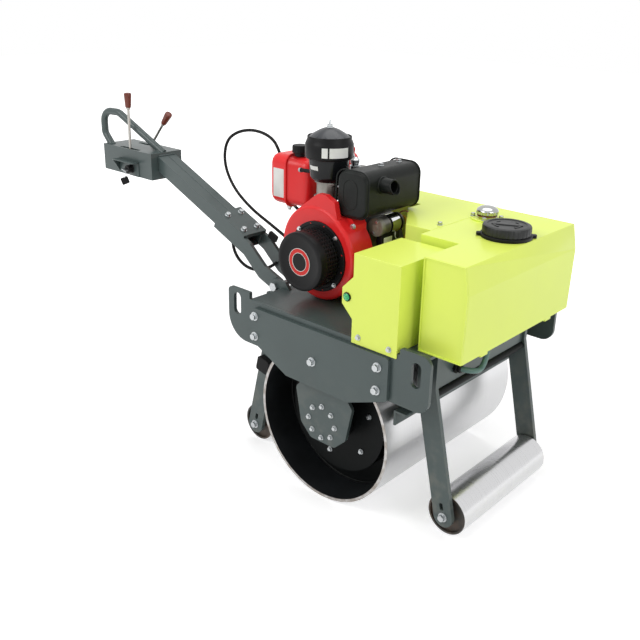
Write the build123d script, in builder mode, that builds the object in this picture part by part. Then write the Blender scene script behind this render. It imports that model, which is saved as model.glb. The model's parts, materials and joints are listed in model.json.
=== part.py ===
from build123d import *
import os
from math import atan2, cos, degrees, radians, sin, tan

os.makedirs("parts", exist_ok=True)

# A walk-behind single-drum vibratory roller, in millimetres.
# +X is forward, +Y is the machine's left and +Z is up, with the floor at Z = 0.
# Lengths along the machine are measured forward from the drum's axis, and DRUM_X puts that axis in the frame.

# Drum
DRUM_RADIUS = 212.5
DRUM_WIDTH = 560
DRUM_WALL = 8
HEAD_RECESS = 104
HEAD_THICKNESS = 12
FLANGE_RADIUS = 153
FLANGE_DEPTH = 42
HUB_RADIUS = 62
HUB_LENGTH = 34

# Clearances
RUN_FIT = 0.05
RIM_GAP = 5
SIDE_GAP = 5
FACE_GAP = 1
SEAT_GAP = 0.1

# Side plates with their raised tabs and lifting slots
PLATE = 10
DECK_TOP = 490
DECK_THICKNESS = 8
DECK_REAR = -246
DECK_FRONT = 300
BEAM_X = 188
BEAM_SIZE = 30
TAB_TOP = 507
SIDE_BOTTOM = 365
SIDE_REAR = -328
SIDE_FRONT = 328
REAR_NOTCH = -247
FRONT_NOTCH = 243
ARCH_HALF = 110
ARCH_TOP = 412
ARCH_SLOPE = 30
SLOT_WIDTH = 27
SLOT_LENGTH = 62
REAR_SLOT = (-294, 465)
FRONT_SLOT = (290, 454)

# Bolted cover plates and the drum hangers behind them
COVER_REAR = -226
COVER_FRONT = 220
COVER_TOP = 475
COVER_REAR_LOW = 381
COVER_FRONT_LOW = 367
COVER_BOTTOM = 322
COVER_BOTTOM_HALF = 103
HANGER_SET_IN = 20
HANGER_TOP = 400
HANGER_BOTTOM = 156
RUBBER_WIDTH = 90
RUBBER_LOW = 330
HOUSING_RADIUS = 58
JOURNAL_RADIUS = 30
HOUSING_GAP = 6

# Support rollers on their legs
ROLLER_RADIUS = 54
ROLLER_HALF = 194
ROLLER_WALL = 6
ROLLER_CAP = 10
ROLLER_CAP_INSET = 6
AXLE_RADIUS = 10
FRONT_ROLLER_X = 338
FRONT_ROLLER_LIFT = 8
REAR_ROLLER_X = -319
REAR_ROLLER_LIFT = 4
LEG_WIDTH = 53
LEG_THICKNESS = 12
LEG_KNEE = 385
LEG_LEAN = 13
LEG_SLOT = 20
LEG_SLOT_RISE = 27
STOP_SIZE = 42
STOP_RISE = 268
STOP_DEPTH = 18

# Water tank and covers
TANK_HALF = 245
TANK_TOP = 714
TANK_REAR = 258
TANK_FRONT_TOP = 365
TANK_BEND = 377
TANK_BEND_Z = 651
TANK_FRONT_LOW = 374
NECK_REAR = 150
NECK_RIGHT = -110
GUARD_GAP = 1
GUARD_LEFT = 248
GUARD_RIGHT = -68
GUARD_REAR = -150
GUARD_INNER = 122
GUARD_STEP = 74
GUARD_CORNER = -18
GUARD_MIDDLE = 64
BOX_REAR = 103
BOX_FRONT = 236
BOX_INNER = -122
BOX_TOP = 697
BOX_SHEET = 3
BOX_SKIRT = 12
NOSE_REACH = 32
NOSE_LOW = 536
NOSE_HIGH = 640
NOSE_FLAT = 40
LAMP_RADIUS = 11
LAMP_LENGTH = 7
CAP_AT = (303, 20)
CAP_RADIUS = 58
CAP_COLLAR = 62
CAP_COLLAR_HEIGHT = 9
CAP_HEIGHT = 31
BREATHER_AT = (186, 124)
BREATHER_RADIUS = 26
BREATHER_FLANGE = 42

# Spray tube in front of the drum
CROSS_X = 280
CROSS_SHEET = 6
CROSS_LOW = 381
SPRAY_RADIUS = 11
HOSE_RADIUS = 7
SCRAPER_X = 213
SCRAPER_LOW = 288
SCRAPER_TOP = 328
SCRAPER_SHEET = 6
SCRAPER_HALF = 264

# Engine, crank across the machine
CRANK_X = -118
BLOWER_GAP = 3
RAIL_HEIGHT = 12
RAIL_WIDTH = 30
RAIL_OVERHANG = 12
CASE_REAR = -195
CASE_FRONT = -40
CASE_RIGHT = -95
CASE_LEFT = 75
CASE_RISE = 80
BARREL_X = -136
BARREL_Y = 10
BARREL_HALF = 45
BARREL_RISE = 55
HEAD_HEIGHT = 40
ROCKER_HEIGHT = 23
BLOWER_RADIUS = 117
BLOWER_DEPTH = 80
BLOWER_BULGE = (13, 12)
NECK_DEPTH = 20
NECK_BACK = 4
SHOULDER_FRONT = -29
SHOULDER_RISE = 106
SHOULDER_CHAMFER = 14
SHOULDER_DEPTH = 42
BLOWER_NECK = 161
RECOIL_RING = 92
RECOIL_SCREEN = 78
RECOIL_CAP = 76
RECOIL_DEPTH = 70
FILTER_X = -155
FILTER_Y = -100
FILTER_RADIUS = 62
FILTER_POT = 58
FILTER_BAND = 54
FILTER_DOME = 24
FILTER_STUD = 18
INTAKE_GAP = 4
INTAKE_HEIGHT = 47
INTAKE_WIDTH = 60
FUEL_REAR = -399
FUEL_FRONT = -255
FUEL_RIGHT = -75
FUEL_LEFT = 155
FUEL_HEIGHT = 140
FUEL_DROP = 8
SEAM_AT = 112
SEAM_LIP = 4
SEAM_SHEET = 6
FUEL_CAP_AT = (-312, -42)
MUFFLER_REAR = -82
MUFFLER_FRONT = 12
MUFFLER_RIGHT = -150
MUFFLER_LEFT = 74
MUFFLER_RISE = 112
MUFFLER_HEIGHT = 116
TAIL_Y = -88
TAIL_DROP = 34
TAIL_RADIUS = 19
TAIL_WALL = 3
TAIL_LENGTH = 34
STARTER_RADIUS = 24
STARTER_LENGTH = 90
STARTER_RISE = 78

# Tow handle, hinged on the deck's rear edge
HANDLE_Y = -125
HINGE_X = -272
HINGE_Z = 488
HINGE_BOLT = 8
LUG_FOOT = 30
BAR_WIDTH = 44
BAR_THICKNESS = 10
BAR_LOWER = 145
BAR_LOWER_RISE = 32
ELBOW_BACK = 62
ELBOW_RISE = 24
BAR_UPPER = 140
ARM_RISE = 23.5
ARM_WIDTH = 64
ARM_DEPTH = 42
ARM_WALL = 4
CLAMP_LENGTH = 118
CLAMP_SHEET = 8
CONTROL_LENGTH = 245
CONTROL_WIDTH = 114
CONTROL_HEIGHT = 80
CONTROL_FRONT = -795
CONTROL_TOP = 772
LOOP_RADIUS = 11
LOOP_BACK = 15
LOOP_HEIGHT = 100
LOOP_SHIFT = 38
LEVER_RADIUS = 5
KNOB_RADIUS = 11
KNOB_LENGTH = 44
CABLE_RADIUS = 4.5

# Derived places
SIDE_INNER = DRUM_WIDTH / 2 + RIM_GAP
SIDE_OUTER = SIDE_INNER + PLATE
COVER_OUTER = SIDE_OUTER + PLATE
HANGER_OUTER = SIDE_OUTER - HANGER_SET_IN
HANGER_INNER = HANGER_OUTER - PLATE
HEAD_OUTER = DRUM_WIDTH / 2 - HEAD_RECESS
HEAD_INNER = HEAD_OUTER - HEAD_THICKNESS
FLANGE_FACE = HEAD_OUTER + FLANGE_DEPTH
HUB_END = HEAD_INNER - HUB_LENGTH
LEG_INNER = ROLLER_HALF + SIDE_GAP
LEG_OUTER = LEG_INNER + LEG_THICKNESS
DECK_UNDER = DECK_TOP - DECK_THICKNESS
CONTROL_REAR = CONTROL_FRONT - CONTROL_LENGTH
LOOP_REAR = CONTROL_REAR - LOOP_BACK
FRONT_REACH = FRONT_ROLLER_X + ROLLER_RADIUS
REAR_REACH = LOOP_REAR - LOOP_RADIUS
DRUM_X = -(FRONT_REACH + REAR_REACH) / 2
FORK_HALF = ARM_WIDTH / 2 + FACE_GAP + BAR_THICKNESS
LUG_INNER = FORK_HALF + FACE_GAP
ENGINE_BASE = DECK_TOP + RAIL_HEIGHT
CRANK_Z = DECK_TOP + BLOWER_RADIUS + BLOWER_GAP
CASE_TOP = CRANK_Z + CASE_RISE
HEAD_LOW = CASE_TOP + BARREL_RISE
HEAD_TOP = HEAD_LOW + HEAD_HEIGHT
ROCKER_TOP = HEAD_TOP + ROCKER_HEIGHT
BLOWER_TOP = CRANK_Z + BLOWER_NECK
SHOULDER_TOP = CRANK_Z + SHOULDER_RISE
INTAKE_LOW = CRANK_Z + BLOWER_BULGE[1] + BLOWER_RADIUS + INTAKE_GAP
FILTER_BOTTOM = INTAKE_LOW + INTAKE_HEIGHT
BAND_LOW = FILTER_BOTTOM + FILTER_POT
BAND_TOP = BAND_LOW + FILTER_BAND
DOME_TOP = BAND_TOP + FILTER_DOME
FILTER_TOP = DOME_TOP + FILTER_STUD
FUEL_LOW = CASE_TOP - FUEL_DROP
FUEL_TOP = FUEL_LOW + FUEL_HEIGHT
MUFFLER_LOW = CRANK_Z + MUFFLER_RISE
MUFFLER_TOP = MUFFLER_LOW + MUFFLER_HEIGHT
TAIL_Z = MUFFLER_TOP - TAIL_DROP
BLOWER_FACE = CASE_RIGHT - BLOWER_DEPTH
RECOIL_FACE = BLOWER_FACE - RECOIL_DEPTH


def side(y):
    """Upright plane along the machine: x forward of the drum's axis, y up, normal to the machine's right."""
    return Plane(origin=(DRUM_X, y, 0), x_dir=(1, 0, 0), z_dir=(0, -1, 0))


def level(z):
    """Level plane: x forward of the drum's axis, y to the machine's left, normal up."""
    return Plane(origin=(DRUM_X, 0, z), x_dir=(1, 0, 0), z_dir=(0, 0, 1))


def across(x):
    """Upright plane across the machine, x forward of the drum's axis: x to the left, y up, normal forward."""
    return Plane(origin=(DRUM_X + x, 0, 0), x_dir=(0, 1, 0), z_dir=(1, 0, 0))


# Deck plate with two cross beams under it
with BuildPart() as deck:
    with BuildSketch(side(SIDE_INNER)):
        with Locations(((DECK_REAR + DECK_FRONT) / 2, DECK_TOP - DECK_THICKNESS / 2)):
            Rectangle(DECK_FRONT - DECK_REAR, DECK_THICKNESS)
        with Locations((-BEAM_X, DECK_UNDER - BEAM_SIZE / 2), (BEAM_X, DECK_UNDER - BEAM_SIZE / 2)):
            Rectangle(BEAM_SIZE, BEAM_SIZE)
    extrude(amount=2 * SIDE_INNER)
deck.part.label = "deck"
export_step(deck.part, "parts/deck.step")

# Side plates: raised tabs with lifting slots, and an arch over the rubber blocks
SIDE_OUTLINE = (
    ((SIDE_REAR, SIDE_BOTTOM), 68),
    ((SIDE_REAR, TAB_TOP), 12),
    ((REAR_NOTCH, TAB_TOP), 2),
    ((REAR_NOTCH, DECK_TOP), 2),
    ((FRONT_NOTCH, DECK_TOP), 2),
    ((FRONT_NOTCH, TAB_TOP), 6),
    ((SIDE_FRONT, TAB_TOP), 26),
    ((SIDE_FRONT, SIDE_BOTTOM), 34),
    ((ARCH_HALF + ARCH_SLOPE, SIDE_BOTTOM), 8),
    ((ARCH_HALF, ARCH_TOP), 8),
    ((-ARCH_HALF, ARCH_TOP), 8),
    ((-ARCH_HALF - ARCH_SLOPE, SIDE_BOTTOM), 8),
)
for name, inner in (("right", -SIDE_INNER), ("left", SIDE_OUTER)):
    with BuildPart() as side_plate:
        with BuildSketch(side(inner)):
            with BuildLine():
                FilletPolyline(
                    *[point for point, _ in SIDE_OUTLINE],
                    radius=[radius for _, radius in SIDE_OUTLINE],
                    close=True,
                )
            make_face()
            with Locations(REAR_SLOT, FRONT_SLOT):
                SlotOverall(SLOT_LENGTH, SLOT_WIDTH, rotation=90, mode=Mode.SUBTRACT)
        extrude(amount=PLATE)
    side_plate.part.label = "side_plate_" + name
    export_step(side_plate.part, "parts/side_plate_" + name + ".step")

# Cover plates bolted over the side plates, with a sloped lower edge
COVER_OUTLINE = (
    ((COVER_REAR, COVER_TOP), 9),
    ((COVER_REAR, COVER_REAR_LOW), 9),
    ((-COVER_BOTTOM_HALF, COVER_BOTTOM), 14),
    ((COVER_BOTTOM_HALF, COVER_BOTTOM), 14),
    ((COVER_FRONT, COVER_FRONT_LOW), 7),
    ((COVER_FRONT, COVER_TOP), 9),
)
for name, inner in (("right", -SIDE_OUTER), ("left", COVER_OUTER)):
    with BuildPart() as outer_plate:
        with BuildSketch(side(inner)):
            with BuildLine():
                FilletPolyline(
                    *[point for point, _ in COVER_OUTLINE],
                    radius=[radius for _, radius in COVER_OUTLINE],
                    close=True,
                )
            make_face()
        extrude(amount=PLATE)
    outer_plate.part.label = "outer_plate_" + name
    export_step(outer_plate.part, "parts/outer_plate_" + name + ".step")

# Rubber blocks between the cover plates and the hangers
with BuildPart() as rubber_mounts:
    with BuildSketch(side(-HANGER_OUTER)):
        with Locations((0, (RUBBER_LOW + HANGER_TOP) / 2)):
            RectangleRounded(RUBBER_WIDTH, HANGER_TOP - RUBBER_LOW, 8)
    extrude(amount=HANGER_SET_IN)
    mirror(about=Plane.XZ)
rubber_mounts.part.label = "rubber_mounts"
export_step(rubber_mounts.part, "parts/rubber_mounts.step")

# Hangers inside the drum's ends
HANGER_HALF = (
    ((40, HANGER_BOTTOM), 16),
    ((76, 190), 16),
    ((95, 285), 12),
    ((74, 310), 10),
    ((56, HANGER_TOP), 8),
)
HANGER_OUTLINE = HANGER_HALF + tuple(((-x, z), radius) for (x, z), radius in reversed(HANGER_HALF))
with BuildPart() as hangers:
    with BuildSketch(side(-HANGER_INNER)):
        with BuildLine():
            FilletPolyline(
                *[point for point, _ in HANGER_OUTLINE],
                radius=[radius for _, radius in HANGER_OUTLINE],
                close=True,
            )
        make_face()
    extrude(amount=PLATE)
    mirror(about=Plane.XZ)
hangers.part.label = "hangers"
export_step(hangers.part, "parts/hangers.step")

# Bearing housings on the hangers, each with its journal in the drum's hub
with BuildPart() as bearing_housings:
    with BuildSketch(side(-HUB_END)):
        with Locations((0, DRUM_RADIUS)):
            Circle(JOURNAL_RADIUS)
    extrude(amount=FLANGE_FACE + HOUSING_GAP - HUB_END)
    with BuildSketch(side(-FLANGE_FACE - HOUSING_GAP)):
        with Locations((0, DRUM_RADIUS)):
            Circle(HOUSING_RADIUS)
    extrude(amount=HANGER_INNER - FLANGE_FACE - HOUSING_GAP)
    mirror(about=Plane.XZ)
bearing_housings.part.label = "bearing_housings"
export_step(bearing_housings.part, "parts/bearing_housings.step")

# Drum shell, open at both ends
with BuildPart() as drum_shell:
    with BuildSketch(side(DRUM_WIDTH / 2)):
        with Locations((0, DRUM_RADIUS)):
            Circle(DRUM_RADIUS)
            Circle(DRUM_RADIUS - DRUM_WALL, mode=Mode.SUBTRACT)
    extrude(amount=DRUM_WIDTH)
drum_shell.part.label = "drum_shell"
export_step(drum_shell.part, "parts/drum_shell.step")

# Drum heads welded inside the shell, each with a bored hub and a thick bearing flange
with BuildPart() as drum_heads:
    with BuildSketch(side(-HEAD_INNER)):
        with Locations((0, DRUM_RADIUS)):
            Circle(DRUM_RADIUS - DRUM_WALL)
            Circle(JOURNAL_RADIUS + RUN_FIT, mode=Mode.SUBTRACT)
    extrude(amount=HEAD_THICKNESS)
    with BuildSketch(side(-HUB_END)):
        with Locations((0, DRUM_RADIUS)):
            Circle(HUB_RADIUS)
            Circle(JOURNAL_RADIUS + RUN_FIT, mode=Mode.SUBTRACT)
    extrude(amount=HUB_LENGTH)
    with BuildSketch(side(-HEAD_OUTER)):
        with Locations((0, DRUM_RADIUS)):
            Circle(FLANGE_RADIUS)
            Circle(JOURNAL_RADIUS + RUN_FIT, mode=Mode.SUBTRACT)
    extrude(amount=FLANGE_DEPTH)
    mirror(about=Plane.XZ)
drum_heads.part.label = "drum_heads"
export_step(drum_heads.part, "parts/drum_heads.step")

# Support rollers, their axles and their legs, front and rear
for name, roller_x, lift, lean in (
    ("front", FRONT_ROLLER_X, FRONT_ROLLER_LIFT, LEG_LEAN),
    ("rear", REAR_ROLLER_X, REAR_ROLLER_LIFT, -LEG_LEAN),
):
    axle_at = (roller_x, ROLLER_RADIUS + lift)
    knee_at = (roller_x - (LEG_KNEE - axle_at[1]) * tan(radians(lean)), LEG_KNEE)
    leg_run = (LEG_KNEE - axle_at[1]) / cos(radians(lean))
    leg_middle = ((axle_at[0] + knee_at[0]) / 2, (axle_at[1] + knee_at[1]) / 2)

    with BuildPart() as roller:
        with BuildSketch(side(ROLLER_HALF)):
            with Locations(axle_at):
                Circle(ROLLER_RADIUS)
                Circle(ROLLER_RADIUS - ROLLER_WALL, mode=Mode.SUBTRACT)
        extrude(amount=2 * ROLLER_HALF)
        for cap_y in (ROLLER_HALF - ROLLER_CAP_INSET, ROLLER_CAP + ROLLER_CAP_INSET - ROLLER_HALF):
            with BuildSketch(side(cap_y)):
                with Locations(axle_at):
                    Circle(ROLLER_RADIUS - ROLLER_WALL)
                    Circle(AXLE_RADIUS + RUN_FIT, mode=Mode.SUBTRACT)
            extrude(amount=ROLLER_CAP)
    roller.part.label = name + "_roller"
    export_step(roller.part, "parts/" + name + "_roller.step")

    with BuildPart() as axle:
        with BuildSketch(side(LEG_OUTER)):
            with Locations(axle_at):
                Circle(AXLE_RADIUS)
        extrude(amount=2 * LEG_OUTER)
    axle.part.label = name + "_axle"
    export_step(axle.part, "parts/" + name + "_axle.step")

    with BuildPart() as legs:
        with BuildSketch(side(-LEG_INNER)):
            with Locations(leg_middle):
                SlotCenterToCenter(leg_run, LEG_WIDTH, rotation=90 + lean)
            with Locations((knee_at[0], (LEG_KNEE + DECK_UNDER) / 2)):
                Rectangle(LEG_WIDTH, DECK_UNDER - LEG_KNEE)
            with Locations(axle_at):
                Circle(AXLE_RADIUS + RUN_FIT, mode=Mode.SUBTRACT)
            with Locations((axle_at[0] - LEG_SLOT_RISE * tan(radians(lean)), axle_at[1] + LEG_SLOT_RISE)):
                SlotOverall(LEG_SLOT, LEG_SLOT / 2, rotation=90 + lean, mode=Mode.SUBTRACT)
        extrude(amount=LEG_THICKNESS)
        mirror(about=Plane.XZ)
    legs.part.label = name + "_legs"
    export_step(legs.part, "parts/" + name + "_legs.step")

# Rubber stops on the rear legs
REAR_AXLE_Z = ROLLER_RADIUS + REAR_ROLLER_LIFT
STOP_AT = (REAR_ROLLER_X + (STOP_RISE - REAR_AXLE_Z) * tan(radians(LEG_LEAN)), STOP_RISE)
with BuildPart() as leg_stops:
    with BuildSketch(side(-LEG_OUTER)):
        with Locations(STOP_AT):
            RectangleRounded(STOP_SIZE, STOP_SIZE, 6, rotation=-LEG_LEAN)
    extrude(amount=STOP_DEPTH)
    mirror(about=Plane.XZ)
leg_stops.part.label = "leg_stops"
export_step(leg_stops.part, "parts/leg_stops.step")

# Scraper: an angle across the front of the drum, between the front legs' rear edges
FRONT_AXLE_Z = ROLLER_RADIUS + FRONT_ROLLER_LIFT
LEG_REAR_EDGE = (
    FRONT_ROLLER_X
    - (SCRAPER_TOP - FRONT_AXLE_Z) * tan(radians(LEG_LEAN))
    - LEG_WIDTH / 2 / cos(radians(LEG_LEAN))
)
with BuildPart() as scraper_bar:
    with BuildSketch(side(SCRAPER_HALF)):
        with BuildLine():
            Polyline(
                (SCRAPER_X, SCRAPER_LOW),
                (SCRAPER_X + SCRAPER_SHEET, SCRAPER_LOW),
                (SCRAPER_X + SCRAPER_SHEET, SCRAPER_TOP - SCRAPER_SHEET),
                (LEG_REAR_EDGE - SEAT_GAP, SCRAPER_TOP - SCRAPER_SHEET),
                (LEG_REAR_EDGE - SEAT_GAP, SCRAPER_TOP),
                (SCRAPER_X, SCRAPER_TOP),
                close=True,
            )
        make_face()
    extrude(amount=2 * SCRAPER_HALF)
scraper_bar.part.label = "scraper_bar"
export_step(scraper_bar.part, "parts/scraper_bar.step")

# Water tank: full-width front with a folded face, and a narrower neck behind it
with BuildPart() as water_tank:
    with BuildSketch(side(TANK_HALF)):
        with BuildLine():
            Polyline(
                (TANK_REAR, DECK_TOP),
                (TANK_FRONT_LOW, DECK_TOP),
                (TANK_BEND, TANK_BEND_Z),
                (TANK_FRONT_TOP, TANK_TOP),
                (TANK_REAR, TANK_TOP),
                close=True,
            )
        make_face()
    extrude(amount=2 * TANK_HALF)
    with BuildSketch(level(DECK_TOP)):
        with Locations(((NECK_REAR + TANK_REAR) / 2, (NECK_RIGHT + TANK_HALF) / 2)):
            Rectangle(TANK_REAR - NECK_REAR, TANK_HALF - NECK_RIGHT)
    extrude(amount=TANK_TOP - DECK_TOP)
water_tank.part.label = "water_tank"
export_step(water_tank.part, "parts/water_tank.step")

# Belt guard: an L-shaped cover beside and in front of the engine
with BuildPart() as belt_guard:
    with BuildSketch(level(DECK_TOP)):
        with BuildLine():
            Polyline(
                (NECK_REAR - GUARD_GAP, GUARD_RIGHT),
                (NECK_REAR - GUARD_GAP, GUARD_LEFT),
                (GUARD_REAR, GUARD_LEFT),
                (GUARD_REAR, GUARD_INNER),
                (GUARD_CORNER, GUARD_INNER),
                (GUARD_CORNER, GUARD_MIDDLE),
                (GUARD_STEP, GUARD_RIGHT),
                close=True,
            )
        make_face()
    extrude(amount=TANK_TOP - DECK_TOP)
belt_guard.part.label = "belt_guard"
export_step(belt_guard.part, "parts/belt_guard.step")

# Battery box with an outer panel whose nose carries the lamp
NOSE_MIDDLE = (NOSE_LOW + NOSE_HIGH) / 2
with BuildPart() as battery_box:
    with BuildSketch(side(BOX_INNER)):
        with Locations(((BOX_REAR + BOX_FRONT) / 2, (DECK_TOP + BOX_TOP) / 2)):
            Rectangle(BOX_FRONT - BOX_REAR, BOX_TOP - DECK_TOP)
    extrude(amount=SIDE_OUTER + BOX_INNER)
    with BuildSketch(side(-SIDE_OUTER)):
        with BuildLine():
            Polyline(
                (BOX_FRONT, DECK_TOP - BOX_SKIRT),
                (BOX_FRONT, BOX_TOP),
                (BOX_REAR, BOX_TOP),
                (BOX_REAR, NOSE_HIGH),
                (BOX_REAR - NOSE_REACH, NOSE_MIDDLE + NOSE_FLAT / 2),
                (BOX_REAR - NOSE_REACH, NOSE_MIDDLE - NOSE_FLAT / 2),
                (BOX_REAR, NOSE_LOW),
                (BOX_REAR, DECK_TOP - BOX_SKIRT),
                close=True,
            )
        make_face()
    extrude(amount=BOX_SHEET)
battery_box.part.label = "battery_box"
export_step(battery_box.part, "parts/battery_box.step")

# Green lamp on the panel's nose
with BuildPart() as indicator_lamp:
    with BuildSketch(side(-SIDE_OUTER - BOX_SHEET)):
        with Locations((BOX_REAR - NOSE_REACH / 2, NOSE_MIDDLE)):
            Circle(LAMP_RADIUS)
    extrude(amount=LAMP_LENGTH)
    fillet(indicator_lamp.faces().sort_by(Axis.Y)[0].edges(), LAMP_LENGTH / 3)
indicator_lamp.part.label = "indicator_lamp"
export_step(indicator_lamp.part, "parts/indicator_lamp.step")

# Black screw cap over the tank's filler
with BuildPart() as water_cap:
    with BuildSketch(level(TANK_TOP)):
        with Locations(CAP_AT):
            Circle(CAP_COLLAR)
    extrude(amount=CAP_COLLAR_HEIGHT)
    with BuildSketch(level(TANK_TOP + CAP_COLLAR_HEIGHT)):
        with Locations(CAP_AT):
            Circle(CAP_RADIUS)
    extrude(amount=CAP_HEIGHT - CAP_COLLAR_HEIGHT)
    fillet(water_cap.faces().sort_by(Axis.Z)[-1].edges(), 5)
water_cap.part.label = "water_cap"
export_step(water_cap.part, "parts/water_cap.step")

# Chrome breather cap on its flange
with BuildPart() as breather_cap:
    with BuildSketch(level(TANK_TOP)):
        with Locations(BREATHER_AT):
            Circle(BREATHER_FLANGE)
    extrude(amount=4)
    with BuildSketch(level(TANK_TOP + 4)):
        with Locations(BREATHER_AT):
            Circle(BREATHER_RADIUS - 6)
    extrude(amount=10)
    with BuildSketch(level(TANK_TOP + 14)):
        with Locations(BREATHER_AT):
            Circle(BREATHER_RADIUS)
    extrude(amount=20)
    fillet(breather_cap.faces().sort_by(Axis.Z)[-1].edges(), 8)
breather_cap.part.label = "breather_cap"
export_step(breather_cap.part, "parts/breather_cap.step")

# Cross plate between the front legs, and the spray tube under it
with BuildPart() as front_cross_plate:
    with BuildSketch(side(LEG_INNER)):
        with Locations((CROSS_X, (CROSS_LOW + DECK_UNDER) / 2)):
            Rectangle(CROSS_SHEET, DECK_UNDER - CROSS_LOW)
    extrude(amount=2 * LEG_INNER)
front_cross_plate.part.label = "front_cross_plate"
export_step(front_cross_plate.part, "parts/front_cross_plate.step")

with BuildPart() as spray_tube:
    with BuildSketch(side(LEG_INNER)):
        with Locations((CROSS_X, CROSS_LOW - SPRAY_RADIUS)):
            Circle(SPRAY_RADIUS)
    extrude(amount=2 * LEG_INNER)
spray_tube.part.label = "spray_tube"
export_step(spray_tube.part, "parts/spray_tube.step")

# Water hose from the tank's floor to the spray tube
HOSE_X = DRUM_X + 322
HOSE_ROUTE = (
    (HOSE_X, -42, DECK_TOP),
    (HOSE_X, -46, CROSS_LOW + 16),
    (HOSE_X, -122, CROSS_LOW + 34),
    (DRUM_X + CROSS_X + CROSS_SHEET / 2 + SEAT_GAP, -122, CROSS_LOW + 34),
)
with BuildPart() as water_hose:
    with BuildLine() as hose_path:
        FilletPolyline(*HOSE_ROUTE, radius=[36, 22])
    with BuildSketch(Plane(origin=HOSE_ROUTE[0], z_dir=(0, 0, -1))):
        Circle(HOSE_RADIUS)
    sweep(path=hose_path.line)
water_hose.part.label = "water_hose"
export_step(water_hose.part, "parts/water_hose.step")

# Hinge lugs on the deck's rear edge
with BuildPart() as hinge_lugs:
    with BuildSketch(side(HANDLE_Y - LUG_INNER)):
        with BuildLine():
            Polyline(
                (DECK_REAR, HINGE_Z - BAR_WIDTH / 2),
                (HINGE_X, HINGE_Z - BAR_WIDTH / 2),
                (HINGE_X, HINGE_Z + BAR_WIDTH / 2),
                (DECK_REAR + LUG_FOOT / 2, HINGE_Z + BAR_WIDTH / 2),
                (DECK_REAR + LUG_FOOT, DECK_TOP),
                (DECK_REAR, DECK_TOP),
                close=True,
            )
        make_face()
        with Locations((HINGE_X, HINGE_Z)):
            Circle(BAR_WIDTH / 2)
            Circle(HINGE_BOLT + RUN_FIT, mode=Mode.SUBTRACT)
    extrude(amount=PLATE)
    mirror(about=Plane.XZ.offset(-HANDLE_Y))
hinge_lugs.part.label = "hinge_lugs"
export_step(hinge_lugs.part, "parts/hinge_lugs.step")

# Hinge bolt through both lugs
LUG_OUTER = LUG_INNER + PLATE
with BuildPart() as hinge_bolt:
    with BuildSketch(side(HANDLE_Y + LUG_OUTER)):
        with Locations((HINGE_X, HINGE_Z)):
            Circle(HINGE_BOLT)
    extrude(amount=2 * LUG_OUTER)
    for head_y in (HANDLE_Y - LUG_OUTER, HANDLE_Y + LUG_OUTER + HINGE_BOLT):
        with BuildSketch(side(head_y)):
            with Locations((HINGE_X, HINGE_Z)):
                RegularPolygon(HINGE_BOLT * 1.6, 6)
        extrude(amount=HINGE_BOLT)
hinge_bolt.part.label = "hinge_bolt"
export_step(hinge_bolt.part, "parts/hinge_bolt.step")

# Engine rails on the deck
with BuildPart() as engine_rails:
    with BuildSketch(level(DECK_TOP)):
        for rail_y in (CASE_RIGHT + RAIL_WIDTH / 2 + FACE_GAP, CASE_LEFT - RAIL_WIDTH / 2):
            with Locations(((CASE_REAR + CASE_FRONT) / 2, rail_y)):
                Rectangle(CASE_FRONT - CASE_REAR + 2 * RAIL_OVERHANG, RAIL_WIDTH)
    extrude(amount=RAIL_HEIGHT)
engine_rails.part.label = "engine_rails"
export_step(engine_rails.part, "parts/engine_rails.step")

# Crankcase with its foot, output boss and the fuel tank's bracket
with BuildPart() as crankcase:
    with BuildSketch(level(ENGINE_BASE)):
        with Locations(((CASE_REAR + CASE_FRONT) / 2, (CASE_RIGHT + CASE_LEFT) / 2)):
            Rectangle(CASE_FRONT - CASE_REAR, CASE_LEFT - CASE_RIGHT)
    extrude(amount=CASE_TOP - ENGINE_BASE)
    fillet(crankcase.edges().filter_by(Axis.Z), 18)
    with BuildSketch(level(ENGINE_BASE)):
        with Locations(((CASE_REAR + CASE_FRONT) / 2, (CASE_RIGHT + CASE_LEFT) / 2)):
            RectangleRounded(CASE_FRONT - CASE_REAR + 30, CASE_LEFT - CASE_RIGHT, 10)
    extrude(amount=12)
    with BuildSketch(side(CASE_LEFT + 30)):
        with Locations((CRANK_X, CRANK_Z)):
            Circle(60)
    extrude(amount=40)
    with BuildSketch(level(FUEL_LOW - 6)):
        with Locations(((FUEL_REAR + 60 + CASE_REAR + 10) / 2, 20)):
            Rectangle(CASE_REAR + 10 - FUEL_REAR - 60, 70)
    extrude(amount=6)
crankcase.part.label = "crankcase"
export_step(crankcase.part, "parts/crankcase.step")

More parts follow.
